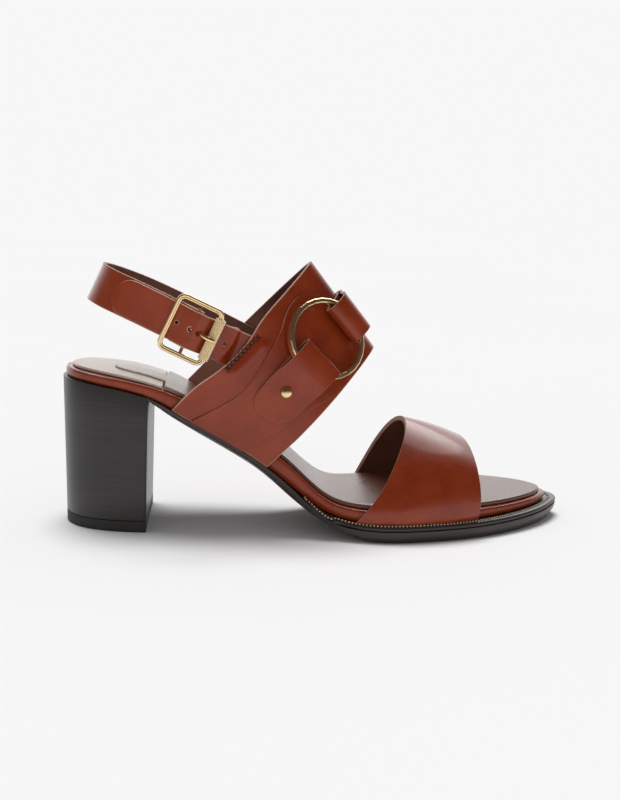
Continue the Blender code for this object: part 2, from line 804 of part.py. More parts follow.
plate("insole_board", BOARD_RIBS, lambda x, y: board_top(x), lambda x, y: board_bottom(x),
      [(0.5, 0.0), (0.0, 0.2), (0.0, 0.72), (0.5, 0.92), (1.5, 1.0)], 4, UPPER_LEATHER)

plate("heel_block", HEEL_RIBS, lambda x, y: board_bottom(x) - GAP,
      lambda x, y: HEEL_TIP_HEIGHT + GAP, [(1.0, 0.0), (0.0, 1.0)], 4, HEEL_STACK)
TIP_RIBS = inset(HEEL_RIBS, 1.0)
plate("heel_tip", TIP_RIBS, lambda x, y: HEEL_TIP_HEIGHT, lambda x, y: 0.0,
      [(0.5, 0.0), (0.0, 0.12), (0.0, 1.0)], 4, TIP_RUBBER)

COVER_RIBS = inset(BOARD_RIBS, 2.6)
FULL_RIBS = [r for r in COVER_RIBS if r[0] > PAD_END + 1.5]
sock_ribs = [(x, TONGUE_MIDDLE - half, x, TONGUE_MIDDLE + half) for x, half in TONGUE]
sock_ribs += [(PAD_END + 0.6, FULL_RIBS[0][1] - 0.2, PAD_END + 0.6, FULL_RIBS[0][3] + 0.3)]
sock_ribs += FULL_RIBS
plate("sock", sock_ribs, lambda x, y: board_top(x) + GAP + SOCK_THICK,
      lambda x, y: board_top(x) + GAP, [(0.0, 0.0), (0.0, 0.6), (0.4, 1.0)], 4, SOCK_LEATHER)


def cover_edge(x, side):
    rows = [(r[0], r[1]) if side < 0 else (r[2], r[3]) for r in COVER_RIBS]
    return bend(rows, 1, x)


def pad_ribs():
    # Ribs of the heel pad from its outer edge to the tongue, round the back of the heel
    tongue = [(PAD_END, TONGUE[-1][1])] + [(x, h) for x, h in reversed(TONGUE[:-1])]
    lateral = [(x - GAP, TONGUE_MIDDLE - h - GAP) for x, h in tongue]
    medial = [(x - GAP, TONGUE_MIDDLE + h + GAP) for x, h in reversed(tongue)]
    inner = lateral + [(TONGUE[0][0] - 2 * GAP, TONGUE_MIDDLE)] + medial
    outer_x = [PAD_END, 38.0, 30.0, 20.0, 11.0, 6.6]
    outer = [(x, cover_edge(x, -1)) for x in outer_x]
    outer += [(COVER_RIBS[0][0], 0.0)]
    outer += [(x, cover_edge(x, 1)) for x in reversed(outer_x)]
    return [(*a, *b) for a, b in zip(outer, inner)]


plate("heel_pad", pad_ribs(), lambda x, y: board_top(x) + GAP + PAD_THICK,
      lambda x, y: board_top(x) + GAP, [(0.0, 0.0), (0.0, 0.6), (0.3, 1.0)], 3, SOCK_LEATHER)

# Instep band, its overlay and the vamp strap
BAND_ROWS = [INSTEP_FACE.length * k / 36 for k in range(37)]
strap("instep_band", INSTEP_FACE,
      [(l, -BAND_THICK / 2, bend(REAR_HOLLOW, 1, l), 1.0) for l in BAND_ROWS],
      BAND_THICK, 6, UPPER_LEATHER)

VAMP_ROWS = [VAMP_FACE.length * k / 34 for k in range(35)]
strap("vamp_strap", VAMP_FACE, [(l, -VAMP_THICK / 2, 0.0, 1.0) for l in VAMP_ROWS],
      VAMP_THICK, 9, UPPER_LEATHER)

strap("instep_overlay", INSTEP_FACE,
      [(l, GAP + OVERLAY_THICK / 2, s0, s1) for l, s0, s1 in OVERLAY],
      OVERLAY_THICK, 5, UPPER_LEATHER)
for tab_name, tab_rows in (("lower_tab", LOWER_TAB), ("upper_tab", UPPER_TAB)):
    strap(tab_name, INSTEP_FACE, [(l, h, m - w, m + w) for l, h, m, w in tab_rows],
          TAB_THICK, 4, UPPER_LEATHER)

# Ring and studs
RING_FOOT = INSTEP_FACE(*RING_AT, 0.0)
RING_CENTRE = INSTEP_FACE(*RING_AT, RING_LIFT)
RING_ACROSS = INSTEP_FACE.face(RING_AT[0], 0.75) - INSTEP_FACE.face(RING_AT[0], 0.35)
half_height = RING_HEIGHT / 2
inner_radius = RING_RADIUS - RING_WALL
lathe("ring", [(inner_radius, -half_height + 0.3), (inner_radius + 0.3, -half_height),
               (RING_RADIUS - 0.3, -half_height), (RING_RADIUS, -half_height + 0.3),
               (RING_RADIUS, half_height - 0.3), (RING_RADIUS - 0.3, half_height),
               (inner_radius + 0.3, half_height), (inner_radius, half_height - 0.3)],
      frame_at(RING_CENTRE, RING_CENTRE - RING_FOOT, RING_ACROSS), RING_SIDES, BRASS)
for stud_name, (l, s, h) in STUDS.items():
    foot = INSTEP_FACE(l, s, h)
    lathe(stud_name, [(0.0, 0.0), (STUD_RADIUS * 0.86, 0.0), (STUD_RADIUS, STUD_HEIGHT * 0.2),
                      (STUD_RADIUS * 0.92, STUD_HEIGHT * 0.55),
                      (STUD_RADIUS * 0.6, STUD_HEIGHT * 0.87), (0.0, STUD_HEIGHT)],
          frame_at(foot, foot - INSTEP_FACE(l, s, 0.0), RING_ACROSS), 16, BRASS)

# Slingback straps
BUCKLE = SLING_FACE.buckle
HALF = STRAP_WIDTH / 2
back_rows = [(BUCKLE * k / 44, 0.0, -HALF, HALF) for k in range(44)]
back_rows += [(BUCKLE + x, h, -HALF, HALF) for x, h in FOLD]
back_strap = strap("back_strap", SLING_FACE, back_rows, STRAP_THICK, 2, UPPER_LEATHER)
tail_strap = strap("tail_strap", SLING_FACE,
                   [(BUCKLE + x, h, -w, w) for x, h, w in TAIL], TAIL_THICK, 2, UPPER_LEATHER)

# Buckle, in a frame at its centre bar: x forward along the strap, y up across it, z outward
ORIGIN = SLING_FACE(BUCKLE, 0.0, 0.0)
BUCKLE_PLACE = frame_at(ORIGIN, SLING_FACE(BUCKLE, 0.0, 1.0) - ORIGIN,
                        SLING_FACE(BUCKLE + 1.0, 0.0, 0.0) - ORIGIN)
BAR_X = BUCKLE_LENGTH / 2 - BUCKLE_WIRE
BAR_Y = BUCKLE_WIDTH / 2 - BUCKLE_WIRE
TURN = BUCKLE_CORNER - BUCKLE_WIRE
outline = []
for corner_x, corner_y, start in ((1, 1, 0), (-1, 1, 90), (-1, -1, 180), (1, -1, 270)):
    for k in range(5):
        angle = math.radians(start + 22.5 * k)
        outline.append((corner_x * (BAR_X - TURN) + TURN * math.cos(angle),
                        corner_y * (BAR_Y - TURN) + TURN * math.sin(angle), BUCKLE_LIFT))
buckle_frame = wire("buckle_frame", outline, BUCKLE_WIRE, True, BRASS, BUCKLE_PLACE)
bar_ends = [(-BAR_Y + 0.2, BUCKLE_LIFT - 0.5), (-BAR_Y + 1.6, CENTRE_BAR_LIFT + 0.6),
            (-BAR_Y + 2.5, CENTRE_BAR_LIFT), (BAR_Y - 2.5, CENTRE_BAR_LIFT),
            (BAR_Y - 1.6, CENTRE_BAR_LIFT + 0.6), (BAR_Y - 0.2, BUCKLE_LIFT - 0.5)]
centre_bar = wire("centre_bar", [(0.0, y, z) for y, z in bar_ends], CENTRE_BAR_RADIUS, False,
                  None, BUCKLE_PLACE)
SHOE.objects.unlink(centre_bar)
CUTTERS.objects.link(centre_bar)
centre_bar.hide_render = True
centre_bar.display_type = "WIRE"
join = buckle_frame.modifiers.new("join", "BOOLEAN")
join.operation = "UNION"
join.solver = "EXACT"
join.object = centre_bar

SLEEVE_PLACE = BUCKLE_PLACE @ Matrix.Translation(Vector((BAR_X, 0.0, BUCKLE_LIFT)) * MM)
lathe("buckle_sleeve", [(SLEEVE_BORE, -SLEEVE_LENGTH / 2), (SLEEVE_RADIUS, -SLEEVE_LENGTH / 2),
                        (SLEEVE_RADIUS, SLEEVE_LENGTH / 2), (SLEEVE_BORE, SLEEVE_LENGTH / 2)],
      SLEEVE_PLACE @ Matrix.Rotation(math.radians(90), 4, "X"), 20, BRASS)
wire("buckle_prong", [(x, 0.0, z) for x, z in PRONG], PRONG_RADIUS, False, BRASS, BUCKLE_PLACE)

# Prong slot and holes
subtract(back_strap, block("prong_slot", (-2.9, -1.15, -1.2), (6.2, 2.3, 6.2), BUCKLE_PLACE))
subtract(tail_strap, pin("prong_hole", (PRONG_HOLE, 0.0, 5.4), (2.5, 1.15), 6.0, BUCKLE_PLACE))
for number, x in enumerate(TAIL_HOLES):
    lift = bend([(r[0], r[1]) for r in reversed(TAIL)], 1, x)
    hole = pin("tail_hole_%d" % number, (x, 0.0, lift),
               (TAIL_HOLE_RADIUS, TAIL_HOLE_RADIUS), 4.0, BUCKLE_PLACE)
    subtract(tail_strap, hole)
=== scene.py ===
import math

import bmesh
import bpy
from mathutils import Matrix, Vector
from mathutils.bvhtree import BVHTree


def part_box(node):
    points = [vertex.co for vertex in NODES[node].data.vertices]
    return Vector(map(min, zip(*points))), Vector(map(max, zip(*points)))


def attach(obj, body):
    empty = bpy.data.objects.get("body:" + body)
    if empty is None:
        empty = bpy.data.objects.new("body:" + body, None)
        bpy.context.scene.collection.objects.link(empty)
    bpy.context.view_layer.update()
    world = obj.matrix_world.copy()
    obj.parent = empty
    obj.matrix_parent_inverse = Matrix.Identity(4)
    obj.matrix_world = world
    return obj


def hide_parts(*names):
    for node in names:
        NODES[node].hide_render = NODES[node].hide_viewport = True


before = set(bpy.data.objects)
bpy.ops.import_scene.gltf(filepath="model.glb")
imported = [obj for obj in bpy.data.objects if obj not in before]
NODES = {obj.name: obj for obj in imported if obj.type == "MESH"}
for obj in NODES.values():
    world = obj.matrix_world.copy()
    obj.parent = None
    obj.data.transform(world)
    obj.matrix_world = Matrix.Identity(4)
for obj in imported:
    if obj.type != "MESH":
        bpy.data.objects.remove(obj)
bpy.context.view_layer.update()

# Tables are in shoe millimetres: x from the back of the heel, y across from the
# middle line with the outer side negative, z from the floor
MM = 0.001
HEEL_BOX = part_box("heel_block")
HEEL_BACK = HEEL_BOX[0].x
MIDDLE_LINE = (HEEL_BOX[0].y + HEEL_BOX[1].y) / 2


def shoe(x, y, z):
    return Vector((HEEL_BACK + x * MM, MIDDLE_LINE + y * MM, z * MM))


# The camera stands where the photographer stood, on the outer side and a little above
CAMERA_YAW = math.radians(-4.0)
CAMERA_PITCH = math.radians(10.4)
CAMERA_ROLL = math.radians(1.4)
CAMERA_AIM = shoe(112.0, 0.0, 56.1)
CAMERA_DISTANCE = 0.556
LENS = 54.2
SENSOR = 36.0
IMAGE = (620, 800)
TENT = 0.30
BACKDROP = 0.93
CANOPY = 2.8

# Suns: strength, direction that the light comes from, and width in degrees
KEY_SUN = (1.3, (0.15, 0.60, 0.78), 50.0)
FLOOR_SUN = (2.32, (-0.06, 0.20, 0.97), 30.0)

# Soft lamp beside the camera
FILL_FROM = (-0.10, -0.90, 0.35)
FILL_AIM = (0.0, 0.0, 0.05)
FILL_SIZE = (1.4, 0.9)
FILL_POWER = 2.8

# Slingback, in its own tilted frame: p forward and down along the strap, y across the
# shoe, q the height square to p. It runs from the inner side round the heel
SLING_TILT = math.radians(24.9)
SLING = [
    (46.0, 17.9, 106.4),
    (34.0, 19.4, 106.4),
    (26.0, 21.2, 106.4),
    (14.0, 22.6, 106.3),
    (0.0, 23.2, 106.2),
    (-10.0, 22.5, 106.1),
    (-18.0, 20.0, 105.9),
    (-24.5, 15.6, 105.7),
    (-29.6, 9.4, 105.6),
    (-32.2, 3.0, 105.6),
    (-32.2, -3.0, 105.7),
    (-29.8, -9.6, 106.0),
    (-25.0, -15.8, 106.5),
    (-18.5, -20.4, 107.1),
    (-10.5, -23.2, 107.5),
    (0.0, -24.6, 107.6),
    (4.0, -24.7, 107.6),
    (14.0, -24.7, 107.6),
    (24.0, -24.7, 107.6),
    (34.0, -23.9, 107.6),
    (46.0, -22.9, 107.6),
]
BUCKLE_ROW = 17
STRAP_HALF = 8.8
STRAP_THICK = 1.5
TAIL_THICK = 1.6
STRAP_ROUND = 0.35

# Steps across a strap's flat sides, and its faces, counted round the section, that are
# the outer and the inner side
ACROSS = 20
OUTER_FACES = range(3, ACROSS + 4)
INNER_FACES = range(ACROSS + 10, 2 * ACROSS + 11)

# Buckled end: distance forward of the centre bar, height over the slingback, half width
TAIL = [
    (31.5, 0.4, 8.2),
    (26.0, 0.4, 8.2),
    (19.5, 0.6, 8.2),
    (14.5, 1.7, 8.2),
    (11.8, 2.1, 8.2),
    (9.9, 2.2, 8.2),
    (8.4, 2.45, 8.2),
    (7.2, 3.3, 8.2),
    (6.0, 4.4, 8.2),
    (4.6, 5.3, 8.2),
    (2.8, 5.75, 8.2),
    (0.8, 5.8, 8.2),
    (-1.2, 5.6, 8.2),
    (-3.6, 4.9, 8.2),
    (-6.6, 3.95, 8.2),
    (-9.9, 3.3, 8.2),
    (-13.9, 2.6, 8.2),
    (-19.0, 2.05, 8.2),
    (-25.0, 1.95, 8.2),
    (-29.0, 1.95, 8.2),
    (-31.5, 1.95, 7.8),
    (-33.4, 1.95, 6.7),
    (-34.9, 1.95, 4.9),
    (-35.8, 1.95, 3.0),
    (-36.2, 1.95, 1.4),
]

# End of the slingback, turned back over the centre bar: the first two columns again
TURNED_END = [
    (0.0, 0.0),
    (0.92, 0.25),
    (1.6, 0.92),
    (1.85, 1.85),
    (1.6, 2.78),
    (0.92, 3.45),
    (0.0, 3.7),
    (-1.6, 3.6),
    (-3.2, 3.1),
    (-4.8, 2.5),
    (-6.6, 1.95),
]

# Buckle
BUCKLE_LENGTH = 22.2
BUCKLE_WIDTH = 26.7
BUCKLE_WIRE = 1.15
BUCKLE_CORNER = 4.0
BUCKLE_LIFT = 5.65
CENTRE_BAR_LIFT = 1.85
CENTRE_BAR_RADIUS = 0.8
SLEEVE_LENGTH = 19.4
SLEEVE_CORE = 1.7
KNURL_RADIUS = 1.78
KNURL_DEPTH = 0.6
KNURL_RIDGES = 6.0
KNURL_TWIST = 2000.0

# Bars of the buckle's loop: radius, and distance outside the middle of the wire
LOOP_BARS = {"outer": (0.80, 0.35), "inner": (0.60, -0.55)}

# Prong: distance forward of the centre bar and height
PRONG_RADIUS = 1.1
PRONG = [
    (-0.6, 0.15),
    (-1.55, 0.9),
    (-1.8, 1.85),
    (-1.4, 3.0),
    (-0.3, 3.6),
    (1.6, 3.85),
    (3.2, 4.5),
    (4.5, 5.6),
    (5.8, 7.0),
    (7.6, 8.4),
    (9.4, 9.0),
    (10.8, 8.95),
]
RING_SWELL = 0.22
RING_BEVEL = 0.12

# Holes of the buckled end, and the longer one that the prong stands in
TAIL_HOLE_RADIUS = 0.95
PRONG_HOLE = 4.1
PRONG_HOLE_RADII = (1.8, 1.0)
PIN_DEPTH = 4.0
PIN_SIDES = 28

# Pressed rims round the holes: place, radius and thickness
HOLE_RIMS = [
    (-6.8, 0.95, 0.10),
    (-0.4, 1.2, 0.20),
    (15.6, 0.95, 0.08),
]

# Lines drawn on the photograph, in its pixels: the stitched seam where the buckled end
# goes under the instep band, and soft creases with their width and depth
SEAM_PIXELS = [(257.5, 337.5), (250.0, 345.0), (239.0, 357.0), (227.5, 368.5)]
BAND_CREASES = [
    ([(262.0, 347.0), (250.0, 360.0), (236.0, 373.0)], 2.7, -1.4),
    ([(225.0, 371.0), (236.0, 384.0), (243.0, 392.0)], 2.6, -0.35),
]
TAIL_CREASES = [
    ([(238.0, 327.0), (232.0, 342.0), (224.0, 353.0)], 1.8, -0.9),
    ([(243.0, 331.0), (237.0, 345.0), (229.0, 358.0)], 1.6, 0.4),
    ([(205.0, 309.0), (197.0, 327.0), (190.0, 344.0)], 1.7, -0.5),
]
SLIT_PIXELS = ((286.0, 390.2), (293.8, 384.6))
SLIT_WIDTH = 0.45
SLIT_DEPTH = 3.0

# Trough under the seam: width and depth. Beads of the crossed stitches over it
SEAM_TROUGH = (1.7, 0.4)
SEAM_LIFT = 0.22
SEAM_SLANT = 0.85
SEAM_BEAD = {
    "Spacing": 2.1 * MM,
    "Length": 3.7 * MM,
    "Width": 0.62 * MM,
    "Height": 0.6 * MM,
}

# Welt stitches: inset from the rim, what the toe adds to it, lift and bead
WELT_INSET = 1.5
WELT_TOE_INSET = 2.0
WELT_LIFT = 0.15
WELT_SWEEP = 344.0
WELT_SPOTS = 280
WELT_BEAD = {
    "Spacing": 1.6 * MM,
    "Length": 1.0 * MM,
    "Width": 0.85 * MM,
    "Height": 0.8 * MM,
    "Slant": 0.0,
}

# The studio lamps shine on the sandal alone, and a lamp from above on the floor alone
SANDAL = bpy.data.collections.new("sandal")
FLOOR = bpy.data.collections.new("paper")
bpy.context.scene.collection.children.link(SANDAL)
bpy.context.scene.collection.children.link(FLOOR)
bpy.context.scene.view_settings.view_transform = "Standard"


# Camera and light

def camera_axes():
    back = Vector((math.sin(CAMERA_YAW) * math.cos(CAMERA_PITCH),
                   -math.cos(CAMERA_YAW) * math.cos(CAMERA_PITCH), math.sin(CAMERA_PITCH)))
    level = Vector((math.cos(CAMERA_YAW), math.sin(CAMERA_YAW), 0.0))
    rise = level.cross(-back)
    c, s = math.cos(CAMERA_ROLL), math.sin(CAMERA_ROLL)
    return level * c + rise * s, rise * c - level * s, back


RIGHT, UP, BACK = camera_axes()
EYE = CAMERA_AIM + BACK * CAMERA_DISTANCE
FOCAL_PIXELS = LENS / SENSOR * IMAGE[1]


def place_camera():
    lens = bpy.data.cameras.new("camera")
    lens.lens = LENS
    lens.sensor_width = SENSOR
    lens.clip_start = 0.01
    camera = bpy.data.objects.new("camera", lens)
    bpy.context.scene.collection.objects.link(camera)
    place = Matrix((RIGHT, UP, BACK)).transposed().to_4x4()
    place.translation = EYE
    camera.matrix_world = place
    bpy.context.scene.camera = camera


def sight(px, py):
    # Direction from the eye through a point of the photograph
    across = (px - IMAGE[0] / 2) / FOCAL_PIXELS
    down = (py - IMAGE[1] / 2) / FOCAL_PIXELS
    return (RIGHT * across - UP * down - BACK).normalized()


def lamp_of(light, receiver):
    lamp = bpy.data.objects.new(light.name, light)
    bpy.context.scene.collection.objects.link(lamp)
    lamp.light_linking.receiver_collection = receiver
    return lamp


def add_fill():
    light = bpy.data.lights.new("fill", "AREA")
    light.shape = "RECTANGLE"
    light.size, light.size_y = FILL_SIZE
    light.energy = FILL_POWER
    lamp = lamp_of(light, SANDAL)
    way = Vector(FILL_AIM) - Vector(FILL_FROM)
    lamp.location = FILL_FROM
    lamp.rotation_euler = way.to_track_quat("-Z", "Y").to_euler()
    lamp.visible_glossy = False


def add_sun(name, receiver, power, source, width):
    light = bpy.data.lights.new(name, "SUN")
    light.energy = power
    light.angle = math.radians(width)
    lamp = lamp_of(light, receiver)
    lamp.rotation_euler = Vector(source).to_track_quat("Z", "Y").to_euler()


def light_studio():
    # An even white tent for the diffuse light; in reflections it is white behind the
    # shoe and brighter high up there, and elsewhere it darkens upward from the floor
    world = bpy.data.worlds.new("studio")
    bpy.context.scene.world = world
    world.use_nodes = True
    tree = world.node_tree
    way = shader_node(tree, "ShaderNodeSeparateXYZ", {
        0: tree.nodes.new("ShaderNodeTexCoord").outputs["Generated"]})
    behind = shader_node(tree, "ShaderNodeMapRange", {
        "Value": way.outputs[1], "From Min": 0.28, "From Max": 0.72},
        interpolation_type="SMOOTHSTEP")
    canopy = shader_node(tree, "ShaderNodeMapRange", {
        "Value": way.outputs[2], "From Min": 0.36, "From Max": 0.72, "To Min": 1.0,
        "To Max": CANOPY}, interpolation_type="SMOOTHSTEP")
    low = shader_node(tree, "ShaderNodeMapRange", {
        "Value": way.outputs[2], "From Min": 0.0, "From Max": 0.45, "To Min": 0.5,
        "To Max": 0.03}, interpolation_type="SMOOTHSTEP")
    tent = shader_node(tree, "ShaderNodeMath", {
        0: behind.outputs[0], 1: canopy.outputs[0], 2: low.outputs[0]},
        operation="MULTIPLY_ADD")
    ray = tree.nodes.new("ShaderNodeLightPath")
    seen = shader_node(tree, "ShaderNodeMix", {
        0: ray.outputs["Is Camera Ray"], 6: (*[TENT] * 3, 1.0), 7: (*[BACKDROP] * 3, 1.0)},
        data_type="RGBA")
    final = shader_node(tree, "ShaderNodeMix", {
        0: ray.outputs["Is Glossy Ray"], 6: seen.outputs[2], 7: tent.outputs[0]},
        data_type="RGBA")
    tree.links.new(final.outputs[2], tree.nodes["Background"].inputs["Color"])
    add_sun("key", SANDAL, *KEY_SUN)
    add_sun("floor_light", FLOOR, *FLOOR_SUN)
    add_fill()


# Shader building blocks

def shader_node(tree, kind, inputs=None, **settings):
    made = tree.nodes.new(kind)
    for key, value in settings.items():
        setattr(made, key, value)
    for key, value in (inputs or {}).items():
        if isinstance(value, bpy.types.NodeSocket):
            tree.links.new(value, made.inputs[key])
        else:
            made.inputs[key].default_value = value
    return made


def effect(name, inputs, outputs):
    tree = bpy.data.node_groups.new(name, "ShaderNodeTree")
    for label, kind, value in inputs:
        socket = tree.interface.new_socket(name=label, in_out="INPUT", socket_type=kind)
        socket.default_value = value
    for label, kind in outputs:
        tree.interface.new_socket(name=label, in_out="OUTPUT", socket_type=kind)
    return tree, tree.nodes.new("NodeGroupInput"), tree.nodes.new("NodeGroupOutput")


COLOUR = "NodeSocketColor"
NUMBER = "NodeSocketFloat"
VECTOR = "NodeSocketVector"


def polished_grain():
    # Patchy dye, a fine closed grain, and gloss that changes a little with the dye
    tree, given, out = effect("polished_grain", [
        ("Place", VECTOR, (0.0, 0.0, 0.0)), ("Light Dye", COLOUR, (0.5, 0.2, 0.1, 1.0)),
        ("Deep Dye", COLOUR, (0.2, 0.05, 0.02, 1.0)), ("Patch Scale", NUMBER, 60.0),
        ("Grain Scale", NUMBER, 2600.0), ("Gloss", NUMBER, 0.3), ("Gloss Change", NUMBER, 0.08),
    ], [("Color", COLOUR), ("Roughness", NUMBER), ("Height", NUMBER)])
    patches = shader_node(tree, "ShaderNodeTexNoise", {
        "Vector": given.outputs["Place"], "Scale": given.outputs["Patch Scale"],
        "Detail": 3.0, "Roughness": 0.55})
    spread = shader_node(tree, "ShaderNodeMapRange", {
        "Value": patches.outputs["Fac"], "From Min": 0.15, "From Max": 0.85},
        interpolation_type="SMOOTHSTEP")
    dye = shader_node(tree, "ShaderNodeMix", {0: spread.outputs[0],
                      6: given.outputs["Deep Dye"], 7: given.outputs["Light Dye"]},
                      data_type="RGBA")
    cells = shader_node(tree, "ShaderNodeTexVoronoi", {
        "Vector": given.outputs["Place"], "Scale": given.outputs["Grain Scale"]},
        feature="SMOOTH_F1")
    fibre = shader_node(tree, "ShaderNodeTexNoise", {
        "Vector": given.outputs["Place"], "Scale": given.outputs["Grain Scale"],
        "Detail": 4.0})
    height = shader_node(tree, "ShaderNodeMath", {
        0: cells.outputs["Distance"], 1: fibre.outputs["Fac"]}, operation="ADD")
    shift = shader_node(tree, "ShaderNodeMath", {
        0: spread.outputs[0], 1: given.outputs["Gloss Change"],
        2: given.outputs["Gloss"]}, operation="MULTIPLY_ADD")
    tree.links.new(dye.outputs[2], out.inputs["Color"])
    tree.links.new(shift.outputs[0], out.inputs["Roughness"])
    tree.links.new(height.outputs[0], out.inputs["Height"])
    return tree


def stacked_layers():
    # Thin level layers, each a slightly different shade, with uneven lines between them
    tree, given, out = effect("stacked_layers", [
        ("Place", VECTOR, (0.0, 0.0, 0.0)), ("Layer Scale", NUMBER, 700.0),
        ("Dark", COLOUR, (0.02, 0.015, 0.012, 1.0)), ("Light", COLOUR, (0.05, 0.04, 0.03, 1.0)),
    ], [("Color", COLOUR), ("Height", NUMBER)])
    flat = shader_node(tree, "ShaderNodeMapping", {
        "Vector": given.outputs["Place"], "Scale": (0.02, 0.02, 1.0)})
    lines = shader_node(tree, "ShaderNodeTexNoise", {
        "Vector": flat.outputs[0], "Scale": given.outputs["Layer Scale"], "Detail": 6.0,
        "Roughness": 0.75})
    spread = shader_node(tree, "ShaderNodeMapRange", {
        "Value": lines.outputs["Fac"], "From Min": 0.32, "From Max": 0.68})
    shade = shader_node(tree, "ShaderNodeMix", {
        0: spread.outputs[0], 6: given.outputs["Dark"], 7: given.outputs["Light"]},
        data_type="RGBA")
    tree.links.new(shade.outputs[2], out.inputs["Color"])
    tree.links.new(spread.outputs[0], out.inputs["Height"])
    return tree


GRAIN = polished_grain()
LAYERS = stacked_layers()


def blank(name, coat=0.0, coat_roughness=0.1, specular=0.5):
    made = bpy.data.materials.new(name)
    made.use_nodes = True
    tree = made.node_tree
    shader = tree.nodes["Principled BSDF"]
    shader.inputs["Coat Weight"].default_value = coat
    shader.inputs["Coat Roughness"].default_value = coat_roughness
    shader.inputs["Specular IOR Level"].default_value = specular
    place = tree.nodes.new("ShaderNodeTexCoord").outputs["Object"]
    return made, tree, shader, place


def leather(name, light, deep, gloss, coat=0.0, coat_roughness=0.1, grain=2600.0,
            relief=0.00004, change=0.08, specular=0.5, painted_light_ramp=None):
    # The last argument is an axis of the object, two places along it and the colour past the
    # second; it paints light or shade that falls along that axis into the colour
    made, tree, shader, place = blank(name, coat, coat_roughness, specular)
    skin = shader_node(tree, "ShaderNodeGroup", {
        "Place": place, "Light Dye": (*light, 1.0), "Deep Dye": (*deep, 1.0),
        "Grain Scale": grain, "Gloss": gloss, "Gloss Change": change}, node_tree=GRAIN)
    bump = shader_node(tree, "ShaderNodeBump", {
        "Height": skin.outputs["Height"], "Distance": relief, "Strength": 1.0})
    colour = skin.outputs["Color"]
    if painted_light_ramp:
        axis, start, end, tone = painted_light_ramp
        spot = shader_node(tree, "ShaderNodeSeparateXYZ", {0: place})
        share = shader_node(tree, "ShaderNodeMapRange", {
            "Value": spot.outputs[axis], "From Min": start, "From Max": end},
            interpolation_type="SMOOTHSTEP")
        colour = shader_node(tree, "ShaderNodeMix", {
            0: share.outputs[0], 6: colour, 7: (*tone, 1.0)}, data_type="RGBA").outputs[2]
    tree.links.new(colour, shader.inputs["Base Color"])
    tree.links.new(skin.outputs["Roughness"], shader.inputs["Roughness"])
    tree.links.new(bump.outputs["Normal"], shader.inputs["Normal"])
    return made


def layered(name, dark, light, roughness, scale, relief, coat):
    # The cut edge of leather laid in level layers
    made, tree, shader, place = blank(name, coat, 0.2)
    stack = shader_node(tree, "ShaderNodeGroup", {
        "Place": place, "Layer Scale": scale, "Dark": (*dark, 1.0), "Light": (*light, 1.0)},
        node_tree=LAYERS)
    bump = shader_node(tree, "ShaderNodeBump", {
        "Height": stack.outputs["Height"], "Distance": relief, "Strength": 1.0})
    tree.links.new(stack.outputs["Color"], shader.inputs["Base Color"])
    shader.inputs["Roughness"].default_value = roughness
    tree.links.new(bump.outputs["Normal"], shader.inputs["Normal"])
    return made


def plated(name, colour, tarnish, gloss, metal=1.0):
    # Bright plating: a faint change of tone and haze over the surface
    made, tree, shader, place = blank(name)
    shader.inputs["Metallic"].default_value = metal
    haze = shader_node(tree, "ShaderNodeTexNoise", {
        "Vector": place, "Scale": 260.0, "Detail": 3.0})
    tone = shader_node(tree, "ShaderNodeMix", {
        0: haze.outputs["Fac"], 6: (*colour, 1.0), 7: (*tarnish, 1.0)}, data_type="RGBA")
    rough = shader_node(tree, "ShaderNodeMapRange", {
        "Value": haze.outputs["Fac"], "To Min": gloss, "To Max": gloss + 0.12})
    scratches = shader_node(tree, "ShaderNodeTexNoise", {
        "Vector": place, "Scale": 3000.0, "Detail": 2.0})
    bump = shader_node(tree, "ShaderNodeBump", {
        "Height": scratches.outputs["Fac"], "Distance": 0.000005, "Strength": 0.6})
    tree.links.new(tone.outputs[2], shader.inputs["Base Color"])
    tree.links.new(rough.outputs[0], shader.inputs["Roughness"])
    tree.links.new(bump.outputs["Normal"], shader.inputs["Normal"])
    return made


COGNAC = leather("cognac_calf", (0.290, 0.042, 0.010), (0.195, 0.021, 0.004), 0.25,
                 coat=0.45, coat_roughness=0.12, change=0.05, specular=0.2)
RAW_EDGE = leather("raw_edge", (0.60, 0.36, 0.26), (0.46, 0.25, 0.17), 0.6,
                   grain=1400.0, relief=0.00008)
DARK_EDGE = leather("dark_edge", (0.34, 0.16, 0.11), (0.24, 0.105, 0.07), 0.5,
                    grain=1800.0, relief=0.00006, change=0.16)
LINING = leather("lining", (0.165, 0.060, 0.038), (0.110, 0.038, 0.023), 0.42,
                 grain=1500.0, relief=0.00010)
# Lining of the band: its colour darkens toward the top of the inside, a painted shade where the
# band hides the light from above
BAND_LINING = leather("band_lining", (0.46, 0.21, 0.145), (0.37, 0.16, 0.105), 0.55,
                      grain=1600.0, relief=0.00006, painted_light_ramp=(2, 0.072, 0.104, (0.075, 0.016, 0.009)))
# Sock leather: pale toward the heel seat, a painted reflection of the bright studio laid over the
# brown leather
SOCK_SKIN = leather("sock_skin", (0.155, 0.060, 0.036), (0.120, 0.044, 0.026), 0.26,
                    coat=0.1, coat_roughness=0.14, specular=0.45,
                    painted_light_ramp=(0, -0.055, -0.085, (0.46, 0.36, 0.30)))
PAD_SKIN = leather("pad_skin", (0.56, 0.42, 0.34), (0.48, 0.35, 0.28), 0.3,
                   coat=0.25, coat_roughness=0.2)
SOLE_EDGE = layered("sole_edge", (0.016, 0.011, 0.009), (0.031, 0.022, 0.018), 0.38,
                    1200.0, 0.00003, coat=0.15)
SOLE_UNDER = leather("sole_under", (0.085, 0.045, 0.028), (0.060, 0.031, 0.020), 0.5,
                     grain=1400.0)
HEEL_STACK = layered("heel_stack", (0.008, 0.006, 0.006), (0.023, 0.018, 0.016), 0.34,
                     900.0, 0.00003, coat=0.1)
RUBBER = leather("rubber_lift", (0.020, 0.018, 0.017), (0.013, 0.012, 0.011), 0.6,
                 grain=1800.0, relief=0.00005)
GOLD = plated("pale_gold", (0.98, 0.76, 0.44), (0.86, 0.60, 0.30), 0.13, metal=0.96)
